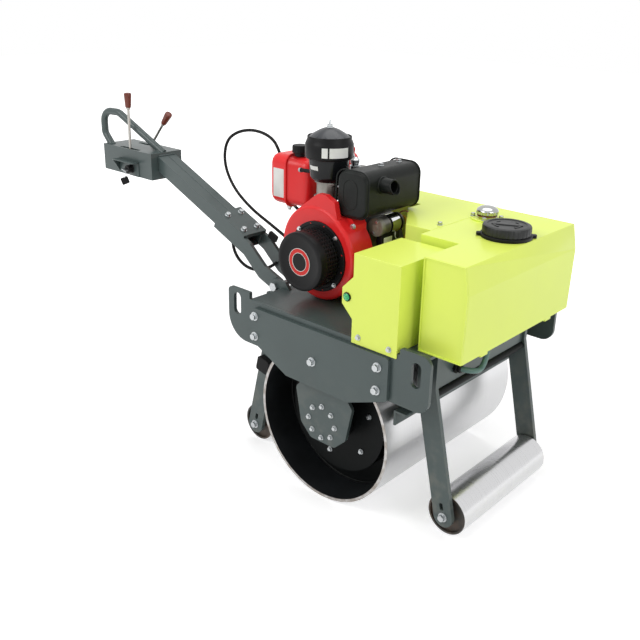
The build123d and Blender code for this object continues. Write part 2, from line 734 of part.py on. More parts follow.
# Finned cylinder with its head, rocker cover and intake
FIN_COUNT = 8
FIN_PITCH = (HEAD_LOW - CASE_TOP) / FIN_COUNT
with BuildPart() as cylinder:
    with BuildSketch(level(CASE_TOP)):
        with Locations((BARREL_X, BARREL_Y)):
            Circle(BARREL_HALF - 12)
    extrude(amount=HEAD_LOW - CASE_TOP)
    for fin in range(FIN_COUNT):
        with BuildSketch(level(CASE_TOP + (fin + 0.5) * FIN_PITCH)):
            with Locations((BARREL_X, BARREL_Y)):
                RectangleRounded(2 * BARREL_HALF, 2 * BARREL_HALF, 14)
        extrude(amount=FIN_PITCH * 0.4)
    with BuildSketch(level(HEAD_LOW)):
        with Locations((BARREL_X, BARREL_Y)):
            RectangleRounded(2 * BARREL_HALF, 2 * BARREL_HALF, 8)
    extrude(amount=HEAD_TOP - HEAD_LOW)
    with BuildSketch(level(HEAD_TOP)):
        with Locations((BARREL_X, BARREL_Y + 6)):
            RectangleRounded(2 * BARREL_HALF - 18, 2 * BARREL_HALF - 30, 12)
    extrude(amount=ROCKER_TOP - HEAD_TOP)
    with BuildSketch(level(INTAKE_LOW)):
        with Locations((FILTER_X, (FILTER_Y + BARREL_Y) / 2 - 10)):
            RectangleRounded(INTAKE_WIDTH, BARREL_Y - FILTER_Y + INTAKE_WIDTH / 2, INTAKE_WIDTH / 3)
    extrude(amount=INTAKE_HEIGHT)
cylinder.part.label = "cylinder"
export_step(cylinder.part, "parts/cylinder.step")

# Red blower housing in front of the crankcase
with BuildPart() as blower_housing:
    with BuildSketch(side(CASE_RIGHT)):
        with Locations((CRANK_X, CRANK_Z), (CRANK_X - BLOWER_BULGE[0], CRANK_Z + BLOWER_BULGE[1])):
            Circle(BLOWER_RADIUS)
    extrude(amount=BLOWER_DEPTH)
    fillet(blower_housing.faces().sort_by(Axis.Y)[0].edges(), 10)
    with BuildSketch(side(BLOWER_FACE + NECK_DEPTH)):
        with BuildLine():
            Polyline(
                (CRANK_X - BLOWER_RADIUS, CRANK_Z + BLOWER_NECK * 0.38),
                (CRANK_X - BLOWER_RADIUS * 0.62, CRANK_Z + BLOWER_NECK * 0.7),
                (CRANK_X - BLOWER_RADIUS * 0.22, BLOWER_TOP - 12),
                (CRANK_X - 8, BLOWER_TOP),
                (CRANK_X + 16, BLOWER_TOP),
                (CRANK_X + BLOWER_RADIUS * 0.4, BLOWER_TOP - 14),
                (CRANK_X + BLOWER_RADIUS * 0.5, CRANK_Z + BLOWER_NECK * 0.62),
                (CRANK_X, CRANK_Z),
                close=True,
            )
        make_face()
    extrude(amount=NECK_DEPTH - NECK_BACK)
    with BuildSketch(side(CASE_RIGHT)):
        with BuildLine():
            Polyline(
                (CRANK_X, CRANK_Z - BLOWER_RADIUS * 0.3),
                (SHOULDER_FRONT, CRANK_Z - BLOWER_RADIUS * 0.3),
                (SHOULDER_FRONT, SHOULDER_TOP - SHOULDER_CHAMFER),
                (SHOULDER_FRONT - SHOULDER_CHAMFER, SHOULDER_TOP),
                (CRANK_X, SHOULDER_TOP),
                close=True,
            )
        make_face()
    extrude(amount=SHOULDER_DEPTH)
blower_housing.part.label = "blower_housing"
export_step(blower_housing.part, "parts/blower_housing.step")

# Recoil starter: ring, screen and end cap
with BuildPart() as recoil_starter:
    for start, radius, depth in ((0, RECOIL_RING, 6), (6, RECOIL_SCREEN, 46), (52, RECOIL_CAP, RECOIL_DEPTH - 52)):
        with BuildSketch(side(BLOWER_FACE - start)):
            with Locations((CRANK_X, CRANK_Z)):
                Circle(radius)
        extrude(amount=depth)
    fillet(recoil_starter.faces().sort_by(Axis.Y)[0].edges(), 6)
recoil_starter.part.label = "recoil_starter"
export_step(recoil_starter.part, "parts/recoil_starter.step")

# Red fuel tank in two pressed halves with a seam flange
with BuildPart() as fuel_tank:
    with BuildSketch(across(FUEL_REAR)):
        with Locations(((FUEL_RIGHT + FUEL_LEFT) / 2, (FUEL_LOW + FUEL_TOP) / 2)):
            RectangleRounded(FUEL_LEFT - FUEL_RIGHT, FUEL_TOP - FUEL_LOW, 24)
    extrude(amount=FUEL_FRONT - FUEL_REAR)
    fillet(fuel_tank.faces().sort_by(Axis.X)[0].edges(), 16)
    fillet(fuel_tank.faces().sort_by(Axis.X)[-1].edges(), 16)
    with BuildSketch(across(FUEL_REAR + SEAM_AT)):
        with Locations(((FUEL_RIGHT + FUEL_LEFT) / 2, (FUEL_LOW + FUEL_TOP + SEAM_LIP) / 2)):
            RectangleRounded(FUEL_LEFT - FUEL_RIGHT + 2 * SEAM_LIP, FUEL_TOP - FUEL_LOW + SEAM_LIP, 26)
    extrude(amount=SEAM_SHEET)
fuel_tank.part.label = "fuel_tank"
export_step(fuel_tank.part, "parts/fuel_tank.step")

# Fuel cap
with BuildPart() as fuel_cap:
    with BuildSketch(level(FUEL_TOP)):
        with Locations(FUEL_CAP_AT):
            Circle(15)
    extrude(amount=10)
    with BuildSketch(level(FUEL_TOP + 10)):
        with Locations(FUEL_CAP_AT):
            Circle(22)
    extrude(amount=20)
    fillet(fuel_cap.faces().sort_by(Axis.Z)[-1].edges(), 4)
fuel_cap.part.label = "fuel_cap"
export_step(fuel_cap.part, "parts/fuel_cap.step")

# Air filter pot with a domed lid and stud
with BuildPart() as air_filter:
    with BuildSketch(Plane(origin=(DRUM_X + FILTER_X, FILTER_Y, 0), x_dir=(1, 0, 0), z_dir=(0, -1, 0))):
        with BuildLine():
            Polyline(
                (0, FILTER_BOTTOM),
                (FILTER_RADIUS * 0.66, FILTER_BOTTOM),
                (FILTER_RADIUS * 0.8, FILTER_BOTTOM + FILTER_POT * 0.2),
                (FILTER_RADIUS * 0.85, BAND_LOW - FILTER_POT * 0.05),
                (FILTER_RADIUS * 0.97, BAND_LOW),
                (FILTER_RADIUS, BAND_LOW + FILTER_BAND * 0.1),
                (FILTER_RADIUS, BAND_LOW + FILTER_BAND * 0.72),
                (FILTER_RADIUS * 0.87, BAND_TOP - FILTER_BAND * 0.08),
                (FILTER_RADIUS * 0.9, BAND_TOP),
                (FILTER_RADIUS * 0.84, BAND_TOP + FILTER_DOME * 0.06),
                (FILTER_RADIUS * 0.62, BAND_TOP + FILTER_DOME * 0.55),
                (FILTER_RADIUS * 0.34, BAND_TOP + FILTER_DOME * 0.88),
                (FILTER_RADIUS * 0.07, DOME_TOP),
                (FILTER_RADIUS * 0.07, FILTER_TOP),
                (0, FILTER_TOP),
                close=True,
            )
        make_face()
    revolve(axis=Axis((DRUM_X + FILTER_X, FILTER_Y, 0), (0, 0, 1)))
air_filter.part.label = "air_filter"
export_step(air_filter.part, "parts/air_filter.step")

# Muffler with its exhaust flange and tailpipe
with BuildPart() as muffler:
    with BuildSketch(side(MUFFLER_LEFT)):
        with Locations(((MUFFLER_REAR + MUFFLER_FRONT) / 2, (MUFFLER_LOW + MUFFLER_TOP) / 2)):
            RectangleRounded(MUFFLER_FRONT - MUFFLER_REAR, MUFFLER_TOP - MUFFLER_LOW, 28)
    extrude(amount=MUFFLER_LEFT - MUFFLER_RIGHT)
    fillet(muffler.faces().sort_by(Axis.Y)[0].edges(), 8)
    fillet(muffler.faces().sort_by(Axis.Y)[-1].edges(), 8)
    with BuildSketch(across(BARREL_X + BARREL_HALF)):
        with Locations((BARREL_Y, HEAD_LOW + 20)):
            Circle(20)
    extrude(amount=MUFFLER_REAR - BARREL_X - BARREL_HALF)
    with BuildSketch(across(MUFFLER_FRONT)):
        with Locations((TAIL_Y, TAIL_Z)):
            Circle(TAIL_RADIUS)
    extrude(amount=TAIL_LENGTH)
    with BuildSketch(across(MUFFLER_FRONT + TAIL_LENGTH)):
        with Locations((TAIL_Y, TAIL_Z)):
            Circle(TAIL_RADIUS - TAIL_WALL)
    extrude(amount=TAIL_WALL - TAIL_LENGTH, mode=Mode.SUBTRACT)
muffler.part.label = "muffler"
export_step(muffler.part, "parts/muffler.step")

# Electric starter motor beside the crankcase
with BuildPart() as starter_motor:
    with BuildSketch(side(STARTER_LENGTH - 75)):
        with Locations((CASE_FRONT + STARTER_RADIUS + FACE_GAP, CRANK_Z + STARTER_RISE)):
            Circle(STARTER_RADIUS)
    extrude(amount=STARTER_LENGTH)
    with BuildSketch(side(0)):
        with Locations((CASE_FRONT + 12, CRANK_Z + STARTER_RISE / 2)):
            Rectangle(24, 30)
    extrude(amount=40)
starter_motor.part.label = "starter_motor"
export_step(starter_motor.part, "parts/starter_motor.step")

# Handle: points along the bars and the arm, in the upright plane through the handle
KNEE = (HINGE_X - BAR_LOWER * cos(radians(BAR_LOWER_RISE)), HINGE_Z + BAR_LOWER * sin(radians(BAR_LOWER_RISE)))
ELBOW = (HINGE_X - ELBOW_BACK, HINGE_Z + ELBOW_RISE)
ARM_ALONG = (-cos(radians(ARM_RISE)), sin(radians(ARM_RISE)))
ARM_UP = (sin(radians(ARM_RISE)), cos(radians(ARM_RISE)))


def arm_point(along, above=0):
    """Point so far up the arm from the bars' knee, and so far above its middle line."""
    return (KNEE[0] + along * ARM_ALONG[0] + above * ARM_UP[0], KNEE[1] + along * ARM_ALONG[1] + above * ARM_UP[1])


# Fork: two bent bars with the clamp plate over them
with BuildPart() as handle_fork:
    for outer in (HANDLE_Y - FORK_HALF + BAR_THICKNESS, HANDLE_Y + FORK_HALF):
        with BuildSketch(side(outer)):
            for start, end in ((KNEE, ELBOW), (ELBOW, (HINGE_X, HINGE_Z))):
                run = Vector(*end) - Vector(*start)
                with Locations(((start[0] + end[0]) / 2, (start[1] + end[1]) / 2)):
                    SlotCenterToCenter(run.length, BAR_WIDTH, rotation=degrees(atan2(run.Y, run.X)))
            with Locations(arm_point(BAR_UPPER / 2)):
                Rectangle(BAR_UPPER, BAR_WIDTH, rotation=-ARM_RISE)
            with Locations((HINGE_X, HINGE_Z)):
                Circle(HINGE_BOLT + RUN_FIT, mode=Mode.SUBTRACT)
        extrude(amount=BAR_THICKNESS)
    with BuildSketch(side(HANDLE_Y + FORK_HALF)):
        with Locations(arm_point(BAR_UPPER - CLAMP_LENGTH / 2, (BAR_WIDTH + CLAMP_SHEET) / 2)):
            Rectangle(CLAMP_LENGTH, CLAMP_SHEET, rotation=-ARM_RISE)
    extrude(amount=2 * FORK_HALF)
handle_fork.part.label = "handle_fork"
export_step(handle_fork.part, "parts/handle_fork.step")

# Arm: a rectangular tube between the bars, up to the control box
ARM_START = 22
ARM_LENGTH = (KNEE[0] - CONTROL_FRONT) / cos(radians(ARM_RISE)) + 30
ARM_LIFT = (BAR_WIDTH - ARM_DEPTH) / 2
with BuildPart() as handle_arm:
    with BuildSketch(side(HANDLE_Y + ARM_WIDTH / 2)):
        with Locations(arm_point((ARM_START + ARM_LENGTH) / 2, ARM_LIFT)):
            Rectangle(ARM_LENGTH - ARM_START, ARM_DEPTH, rotation=-ARM_RISE)
    extrude(amount=ARM_WIDTH)
    with BuildSketch(side(HANDLE_Y + ARM_WIDTH / 2 - ARM_WALL)):
        with Locations(arm_point((ARM_START + ARM_LENGTH) / 2, ARM_LIFT)):
            Rectangle(ARM_LENGTH - ARM_START + 2, ARM_DEPTH - 2 * ARM_WALL, rotation=-ARM_RISE)
    extrude(amount=ARM_WIDTH - 2 * ARM_WALL, mode=Mode.SUBTRACT)
    split(bisect_by=across(CONTROL_FRONT), keep=Keep.TOP)
handle_arm.part.label = "handle_arm"
export_step(handle_arm.part, "parts/handle_arm.step")

# Control box with two lever slots in its top
LEVER_PLACES = ((-914, -46, 1, 138), (-926, 32, 42, 122))
SLOT_DEPTH = 14
with BuildPart() as control_box:
    with BuildSketch(level(CONTROL_TOP - CONTROL_HEIGHT)):
        with Locations(((CONTROL_REAR + CONTROL_FRONT) / 2, HANDLE_Y)):
            Rectangle(CONTROL_LENGTH, CONTROL_WIDTH)
    extrude(amount=CONTROL_HEIGHT)
    with BuildSketch(level(CONTROL_TOP)):
        for lever_x, lever_y, lever_lean, lever_length in LEVER_PLACES:
            with Locations((lever_x, HANDLE_Y + lever_y)):
                SlotOverall(96, 14)
    extrude(amount=-SLOT_DEPTH, mode=Mode.SUBTRACT)
control_box.part.label = "control_box"
export_step(control_box.part, "parts/control_box.step")

# Levers with tapered knobs, one upright and one pushed forward
with BuildPart() as control_levers:
    for lever_x, lever_y, lever_lean, lever_length in LEVER_PLACES:
        lever_foot = Plane(
            origin=(DRUM_X + lever_x, HANDLE_Y + lever_y, CONTROL_TOP - SLOT_DEPTH),
            x_dir=(cos(radians(lever_lean)), 0, -sin(radians(lever_lean))),
            z_dir=(sin(radians(lever_lean)), 0, cos(radians(lever_lean))),
        )
        lever_seat = LEVER_RADIUS * tan(radians(lever_lean)) + SEAT_GAP
        with BuildSketch(lever_foot.offset(lever_seat)):
            Circle(LEVER_RADIUS)
        extrude(amount=lever_length - lever_seat)
        with BuildSketch(lever_foot.offset(lever_length)):
            Circle(KNOB_RADIUS - 2)
        extrude(amount=KNOB_LENGTH, taper=-3)
control_levers.part.label = "control_levers"
export_step(control_levers.part, "parts/control_levers.step")

# Loop handle bent over the control box
LOOP_ROUTE = (
    (DRUM_X + CONTROL_REAR + LOOP_RADIUS + 4, HANDLE_Y - LOOP_SHIFT, CONTROL_TOP),
    (DRUM_X + LOOP_REAR, HANDLE_Y - LOOP_SHIFT, CONTROL_TOP + LOOP_HEIGHT * 0.3),
    (DRUM_X + LOOP_REAR, HANDLE_Y - LOOP_SHIFT, CONTROL_TOP + LOOP_HEIGHT),
    (DRUM_X + LOOP_REAR + 70, HANDLE_Y - LOOP_SHIFT * 0.8, CONTROL_TOP + LOOP_HEIGHT),
    (DRUM_X + CONTROL_FRONT - 24, HANDLE_Y, CONTROL_TOP),
)
with BuildPart() as handle_loop:
    with BuildLine() as loop_path:
        FilletPolyline(*LOOP_ROUTE, radius=[24, 34, 36])
    with BuildSketch(Plane(origin=loop_path.line @ 0, z_dir=loop_path.line % 0)):
        Circle(LOOP_RADIUS)
    sweep(path=loop_path.line)
    split(bisect_by=Plane.XY.offset(CONTROL_TOP), keep=Keep.TOP)
handle_loop.part.label = "handle_loop"
export_step(handle_loop.part, "parts/handle_loop.step")

# Key switch under a small hood on the box's right face
with BuildPart() as key_switch:
    with BuildSketch(side(HANDLE_Y - CONTROL_WIDTH / 2)):
        with Locations((-893, CONTROL_TOP - 58)):
            Circle(13)
    extrude(amount=18)
    with BuildSketch(side(HANDLE_Y - CONTROL_WIDTH / 2)):
        with Locations((-909, CONTROL_TOP - 36)):
            Rectangle(104, 4)
    extrude(amount=26)
key_switch.part.label = "key_switch"
export_step(key_switch.part, "parts/key_switch.step")

# Rubber stop on the left bar
with BuildPart() as rubber_stop:
    with BuildSketch(side(HANDLE_Y + FORK_HALF)):
        with Locations(arm_point(BAR_UPPER - CLAMP_LENGTH - 34, BAR_WIDTH / 2 + 9)):
            Rectangle(30, 18, rotation=-ARM_RISE)
    extrude(amount=BAR_THICKNESS)
rubber_stop.part.label = "rubber_stop"
export_step(rubber_stop.part, "parts/rubber_stop.step")

# Throttle cable, looped behind the engine
CABLE_ROUTE = (
    (-195, -45, 545),
    (-250, -45, 545),
    (-330, -43, 566),
    (-420, -42, 602),
    (-510, -40, 634),
    (-592, -36, 682),
    (-640, -30, 748),
    (-636, -24, 816),
    (-590, -18, 850),
    (-522, -12, 863),
    (-456, -6, 848),
    (-432, 0, 808),
    (-424, 6, 765),
    (-421, 12, 704),
    (-392, 16, 654),
    (-332, 20, 634),
    (-266, 22, 628),
    (-195, 22, 628),
)


def cord_radii(points):
    """Largest arcs that the runs beside each corner allow."""
    radii = []
    for before, here, after in zip(points, points[1:], points[2:]):
        run_in = Vector(*here) - Vector(*before)
        run_out = Vector(*after) - Vector(*here)
        turn = radians(run_in.get_angle(run_out))
        radii.append(0.45 * min(run_in.length, run_out.length) / tan(turn / 2))
    return radii


CABLE_POINTS = [(DRUM_X + x, y, z) for x, y, z in CABLE_ROUTE]
CABLE_RADII = cord_radii(CABLE_POINTS)
print("cable radii", [round(radius) for radius in CABLE_RADII])
with BuildPart() as throttle_cable:
    with BuildLine() as cable_path:
        FilletPolyline(*CABLE_POINTS, radius=CABLE_RADII)
    with BuildSketch(Plane(origin=CABLE_POINTS[0], z_dir=cable_path.line % 0)):
        Circle(CABLE_RADIUS)
    sweep(path=cable_path.line)
throttle_cable.part.label = "throttle_cable"
export_step(throttle_cable.part, "parts/throttle_cable.step")

# Control cable, out of the arm's underside and along the left bar
CONTROL_ROUTE = (
    (-490, -125, 584.2),
    (-500, -125, 561),
    (-497, -125, 532),
    (-476, -124, 503),
    (-440, -121, 486),
    (-398, -115, 488),
    (-366, -106, 502),
    (-346, -97, 520),
)
CONTROL_POINTS = [(DRUM_X + x, y, z) for x, y, z in CONTROL_ROUTE]
CONTROL_RADII = cord_radii(CONTROL_POINTS)
print("control cable radii", [round(radius) for radius in CONTROL_RADII])
with BuildPart() as control_cable:
    with BuildLine() as control_path:
        FilletPolyline(*CONTROL_POINTS, radius=CONTROL_RADII)
    with BuildSketch(Plane(origin=CONTROL_POINTS[0], z_dir=control_path.line % 0)):
        Circle(CABLE_RADIUS)
    sweep(path=control_path.line)
control_cable.part.label = "control_cable"
export_step(control_cable.part, "parts/control_cable.step")
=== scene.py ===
"""Looks of a walk-behind single-drum road roller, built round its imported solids. Lengths are metres."""
import json
import math

import bpy
import numpy as np
from bpy.props import FloatProperty, FloatVectorProperty, PointerProperty
from mathutils import Matrix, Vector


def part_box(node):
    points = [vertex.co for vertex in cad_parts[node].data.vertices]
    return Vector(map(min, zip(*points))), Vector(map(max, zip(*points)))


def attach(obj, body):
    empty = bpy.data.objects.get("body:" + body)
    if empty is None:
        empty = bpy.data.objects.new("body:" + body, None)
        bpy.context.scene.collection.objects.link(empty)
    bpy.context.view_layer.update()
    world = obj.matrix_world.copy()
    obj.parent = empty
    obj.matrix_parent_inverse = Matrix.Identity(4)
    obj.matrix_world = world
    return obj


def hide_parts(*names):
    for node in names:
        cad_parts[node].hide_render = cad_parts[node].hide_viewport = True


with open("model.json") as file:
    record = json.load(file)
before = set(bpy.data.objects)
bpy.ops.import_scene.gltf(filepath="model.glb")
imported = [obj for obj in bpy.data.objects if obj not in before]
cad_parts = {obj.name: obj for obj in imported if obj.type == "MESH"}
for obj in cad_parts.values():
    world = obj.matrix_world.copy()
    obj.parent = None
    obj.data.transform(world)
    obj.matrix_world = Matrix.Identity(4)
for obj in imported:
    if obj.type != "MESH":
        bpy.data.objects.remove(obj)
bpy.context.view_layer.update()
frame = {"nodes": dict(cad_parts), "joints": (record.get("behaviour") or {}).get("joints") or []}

bl_info = {
    "name": "Road roller looks",
    "version": (1, 0, 0),
    "blender": (4, 5, 0),
    "location": "3D View > Sidebar > Roller",
    "description": "Finishes, fasteners, engine fittings and studio of a walk-behind road roller",
    "category": "Object",
}

JOINTS = {joint["name"]: joint for joint in frame["joints"]}
DRUM_AXIS, FRONT_AXLE, REAR_AXLE = (
    np.array(JOINTS[name]["pos_m"]) for name in ("drum_spin", "front_roller_spin", "rear_roller_spin"))
FULL_TURN = 2 * math.pi
FORWARD = np.array((1.0, 0.0, 0.0))
LEFT = np.array((0.0, 1.0, 0.0))
UP = np.array((0.0, 0.0, 1.0))
RIGHT = -LEFT


def spots(places):
    """Points given in millimetres, with x measured forward from the drum's axis."""
    return DRUM_AXIS * FORWARD + np.array(places, float) / 1000


def at(x, y, z):
    """One point, given as for spots."""
    return spots((x, y, z))


def upright(pairs, y=0):
    """Points from pairs of x and z, all at one y, given as for spots."""
    return spots(np.insert(np.array(pairs, float), 1, y, axis=1))


def face_of(node, axis, end):
    """Where a solid ends along an axis: end 0 is its lowest place and 1 its highest."""
    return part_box(node)[end][axis]


def corners_of(node):
    """Lowest and highest corner of a solid's box."""
    return [np.array(corner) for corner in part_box(node)]


def foot_of(node):
    """Middle of a solid's foot, half its width along x, and its height."""
    low, high = corners_of(node)
    return (low + high) / 2 * (FORWARD + LEFT) + low * UP, (high[0] - low[0]) / 2, high[2] - low[2]


DRUM_RADIUS = float(DRUM_AXIS[2])
DRUM_HALF = face_of("drum_shell", 1, 1)
ROLLER_RADIUS = (face_of("front_roller", 2, 1) - face_of("front_roller", 2, 0)) / 2


# Shapes: each is a pair of points and groups of faces, every group an array of corner numbers


def skin(rows, loop=False):
    """Quads between neighbouring closed rows of points; the end rows are filled, or joined by a loop."""
    rows = np.asarray(rows, float)
    count, width = rows.shape[:2]
    i, j = np.meshgrid(np.arange(count if loop else count - 1), np.arange(width), indexing="ij")
    low, high = i * width, (i + 1) % count * width
    beside = (j + 1) % width
    groups = [np.stack([low + j, low + beside, high + beside, high + j], -1).reshape(-1, 4)]
    if not loop:
        groups.append(np.arange(width)[None, ::-1])
        groups.append(np.arange((count - 1) * width, count * width)[None])
    return rows.reshape(-1, 3), groups


def lathe(profile, turns=48, ripple=None, loop=False):
    """Revolved profile: row k is a circle of radius r(k) at height z(k), scaled by ripple(angle, k)."""
    radius, height = np.array(profile, float).T[:, :, None]
    angle = np.linspace(0, FULL_TURN, turns, endpoint=False)
    scale = np.ones(turns) if ripple is None else ripple(angle, np.arange(len(radius))[:, None])
    reach = radius * scale
    return skin(np.stack([reach * np.cos(angle), reach * np.sin(angle), height + 0 * reach], -1), loop)


def fluted(count, depth, first, last, sharp=None):
    """Ripple on some rows: the radius loses a share along a wave of the angle, or where it passes sharp."""
    def ripple(angle, row):
        wave = np.cos(count * angle)
        groove = 0.5 + 0.5 * wave if sharp is None else wave > sharp
        return 1 - depth * groove * ((row >= first) & (row <= last))
    return ripple


def lobed(count, share, first):
    """Ripple from a row upwards: the radius swells and shrinks by a share of itself, count times round."""
    return lambda angle, row: 1 + share * np.cos(count * angle) * (row >= first)


def hexagon(angle, flat):
    """Distance from a hexagon's middle to its edge: half the width over flats by the cosine to the flat."""
    return flat / 2 / np.cos((angle + math.pi / 6) % (math.pi / 3) - math.pi / 6)


def six_sided(flat, radius, first, last):
    """Ripple that makes hexagons of some rows: the distance to a hexagon's edge over the row's radius."""
    return lambda angle, row: np.where((row >= first) & (row <= last), hexagon(angle, flat) / radius, 1.0)


def bolt(flat, head, washer, sheet):
    """Washer and hexagon head: rows of circles and hexagons stacked upwards, with a chamfered top."""
    angle = np.linspace(0, FULL_TURN, 24, endpoint=False)
    six = hexagon(angle, flat)
    low = sheet * 1.7
    collar = flat * 0.54
    rows = (
        (washer, 0), (washer, sheet * 0.7), (washer * 0.96, sheet), (collar, sheet), (collar, low),
        (six * 0.97, low), (six, low + head * 0.08), (six, low + head * 0.82),
        (np.minimum(six, flat * 0.53), low + head * 0.93), (flat * 0.44, low + head),
        (flat * 0.3, low + head * 0.96),
    )
    return skin([np.stack([r * np.cos(angle), r * np.sin(angle), z + 0 * angle], -1) for r, z in rows])


def circle(radius, count=16, start=0.0):
    """Points (across, up) spread evenly round a circle, counterclockwise from the start angle."""
    angle = start + np.arange(count) * FULL_TURN / count
    return radius * np.stack([np.cos(angle), np.sin(angle)], -1)


def rounded(width, height, radius, steps):
    """Rectangle with quarter circles at its corners, counterclockwise from the right."""
    turn = np.linspace(0, math.pi / 2, steps)
    corner = radius * np.stack([np.cos(turn), np.sin(turn)], -1)
    half = np.array((width / 2 - radius, height / 2 - radius))
    quarter = np.array(((0, -1), (1, 0)))
    out = []
    spin = np.eye(2)
    for sign in ((1, 1), (-1, 1), (-1, -1), (1, -1)):
        out.append(corner @ spin.T + half * sign)
        spin = quarter @ spin
    return np.concatenate(out)


def laid(outline, origin, across=FORWARD, up=UP):
    """Outline laid in space: the origin, plus its first number across and its second up."""
    return origin + np.asarray(outline) @ np.stack([across, up])


def tube(path, profile, up=UP, closed=False, ripple=None):
    """Profile carried along a path: each row sets its points square to the path, scaled by ripple."""
    along = np.roll(path, -1, 0) - np.roll(path, 1, 0) if closed else np.gradient(path, axis=0)
    along /= np.linalg.norm(along, axis=1, keepdims=True)
    side = np.cross(up, along)
    side /= np.linalg.norm(side, axis=1, keepdims=True)
    lift = np.cross(along, side)
    scale = np.ones(len(path)) if ripple is None else ripple
    section = profile[None, :, :1] * side[:, None] + profile[None, :, 1:] * lift[:, None]
    return skin(path[:, None] + scale[:, None, None] * section, closed)


def slab(outline, low, high, edge):
    """Flat piece: its outline in full between the rims, drawn in by the edge towards both faces."""
    outline = np.asarray(outline, float)
    along = np.roll(outline, -1, 0) - np.roll(outline, 1, 0)
    along /= np.linalg.norm(along, axis=1, keepdims=True)
    out = np.stack([along[:, 1], -along[:, 0]], -1)
    part = edge * 0.3
    steps = (
        (edge, low), (part, low + part), (0, low + edge), (0, high - edge), (part, high - part), (edge, high))
    return skin([np.column_stack([outline - drawn * out, np.full(len(outline), z)]) for drawn, z in steps])


def plate(width, height, corner, low, high, edge, steps=3):
    """Flat piece whose outline is a rectangle with round corners."""
    return slab(rounded(width, height, corner, steps), low, high, edge)


def inset(outline, depth):
    """Convex outline drawn in: a corner moves by its two edges' inward normals, shared by their angle."""
    outline = np.asarray(outline, float)
    along = np.roll(outline, -1, 0) - outline
    along /= np.linalg.norm(along, axis=1, keepdims=True)
    inward = np.stack([-along[:, 1], along[:, 0]], -1)
    before = np.roll(inward, 1, 0)
    return outline + depth * (inward + before) / (1 + (inward * before).sum(1, keepdims=True))


def bead(count):
    """Ripples of a weld run: the bead swells and thins by a tenth every five steps."""
    return 1 + 0.1 * np.sin(np.arange(count) * FULL_TURN / 5)


def smooth_path(points, steps):
    """Curve through points: between two, a cubic whose ends take their slopes from the points beside."""
    slope = np.gradient(points, axis=0)
    t = np.linspace(0, 1, steps, endpoint=False)[:, None]
    a, b = points[:-1, None], points[1:, None]
    run = (a * (1 + 2 * t) * (1 - t) ** 2 + slope[:-1, None] * t * (1 - t) ** 2
           + b * t ** 2 * (3 - 2 * t) + slope[1:, None] * t ** 2 * (t - 1))
    return np.concatenate([run.reshape(-1, 3), points[-1:]])


def bent(points, radii, steps=12):
    """Straight runs joined by arcs: each arc touches both runs, its middle on the corner's bisector."""
    path = [points[:1]]
    for before, here, after, radius in zip(points, points[1:], points[2:], radii):
        into = (here - before) / np.linalg.norm(here - before)
        out = (after - here) / np.linalg.norm(after - here)
        half = math.acos(into @ out) / 2
        inward = (out - into) / np.linalg.norm(out - into)
        along = (out + into) / np.linalg.norm(out + into)
        angle = np.linspace(-half, half, steps)[:, None]
        middle = here + inward * radius / math.cos(half)
        path.append(middle + radius * (np.sin(angle) * along - np.cos(angle) * inward))
    return np.concatenate([*path, points[-1:]])


def patch(radius, low, high, start, end, lean=0.0):
    """Label round a pot: a thin upright section carried along an arc in degrees, its top wider by lean."""
    thick, edge = 0.0005, 0.0003
    angle = np.radians(np.linspace(end, start, 25))[:, None]
    reach = radius + np.array((-thick, 0.0, lean, lean - thick))
    height = np.array((low, low + edge, high - edge, high))
    return skin(np.stack([reach * np.cos(angle), reach * np.sin(angle), height + 0 * angle], -1))


def band(inner, outer, low, high, turns=72):
    """Flat ring: a small rectangle of the radius and height revolved."""
    return lathe([(outer, low), (outer, high), (inner, high), (inner, low)], turns, loop=True)


def perforated(radius, low, high, around, rows, hole=0.36):
    """Screen round a drum: each cell is a square ring of eight quads about an eight-sided hole."""
    eight = circle(1, 8)
    # Clipped, the ring of eight becomes a square's corners and the middles of its sides
    square = np.clip(1.42 * eight, -1, 1) / 2
    across, up = np.meshgrid(np.arange(around), np.arange(rows), indexing="ij")
    middle = np.stack([across + 0.5, up + 0.5], -1).reshape(-1, 1, 2)
    corners = np.concatenate([middle + square, middle + hole * eight], 1)
    turn = corners[..., 0] * FULL_TURN / around
    height = low + corners[..., 1] * (high - low) / rows
    points = np.stack([radius * np.cos(turn), radius * np.sin(turn), height], -1)
    j = np.arange(8)
    cell = np.stack([j, (j + 1) % 8, 8 + (j + 1) % 8, 8 + j], -1)
    faces = (cell[None] + 16 * np.arange(around * rows)[:, None, None]).reshape(-1, 4)
    return points.reshape(-1, 3), [faces]


def placed(shape, origin, normal=UP, along=FORWARD):
    """The shape with its own up turned to the normal, its first axis towards along, and its origin moved."""
    points, groups = shape
    z = np.asarray(normal, float) / np.linalg.norm(normal)
    y = np.cross(z, along)
    y /= np.linalg.norm(y)
    x = np.cross(y, z)
    return points @ np.stack([x, y, z]) + origin, groups


def merged(shapes):
    """One shape from several, with the corner numbers moved on."""
    points, groups, start = [], [], 0
    for own, faces in shapes:
        points.append(own)
        groups += [group + start for group in faces]
        start += len(own)
    return np.concatenate(points), groups


def repeated(shape, origins, normal=UP, along=FORWARD):
    """Copies of a shape at each origin, all turned the same way."""
    return merged([placed(shape, origin, normal, along) for origin in origins])


SMOOTH_ANGLE = math.radians(35)
FINISHES = {}


def piece(name, shape, finish, body="frame", stands_for=None):
    """Makes an object from a shape, smooth up to an angle, riding on a body."""
    points, groups = shape
    mesh = bpy.data.meshes.new(name)
    mesh.from_pydata(points.tolist(), [], [face for group in groups for face in group.tolist()])
    mesh.polygons.foreach_set("use_smooth", np.ones(len(mesh.polygons), bool))
    mesh.set_sharp_from_angle(angle=SMOOTH_ANGLE)
    mesh.update()
    return dressed(bpy.data.objects.new(name, mesh), finish, body, stands_for)


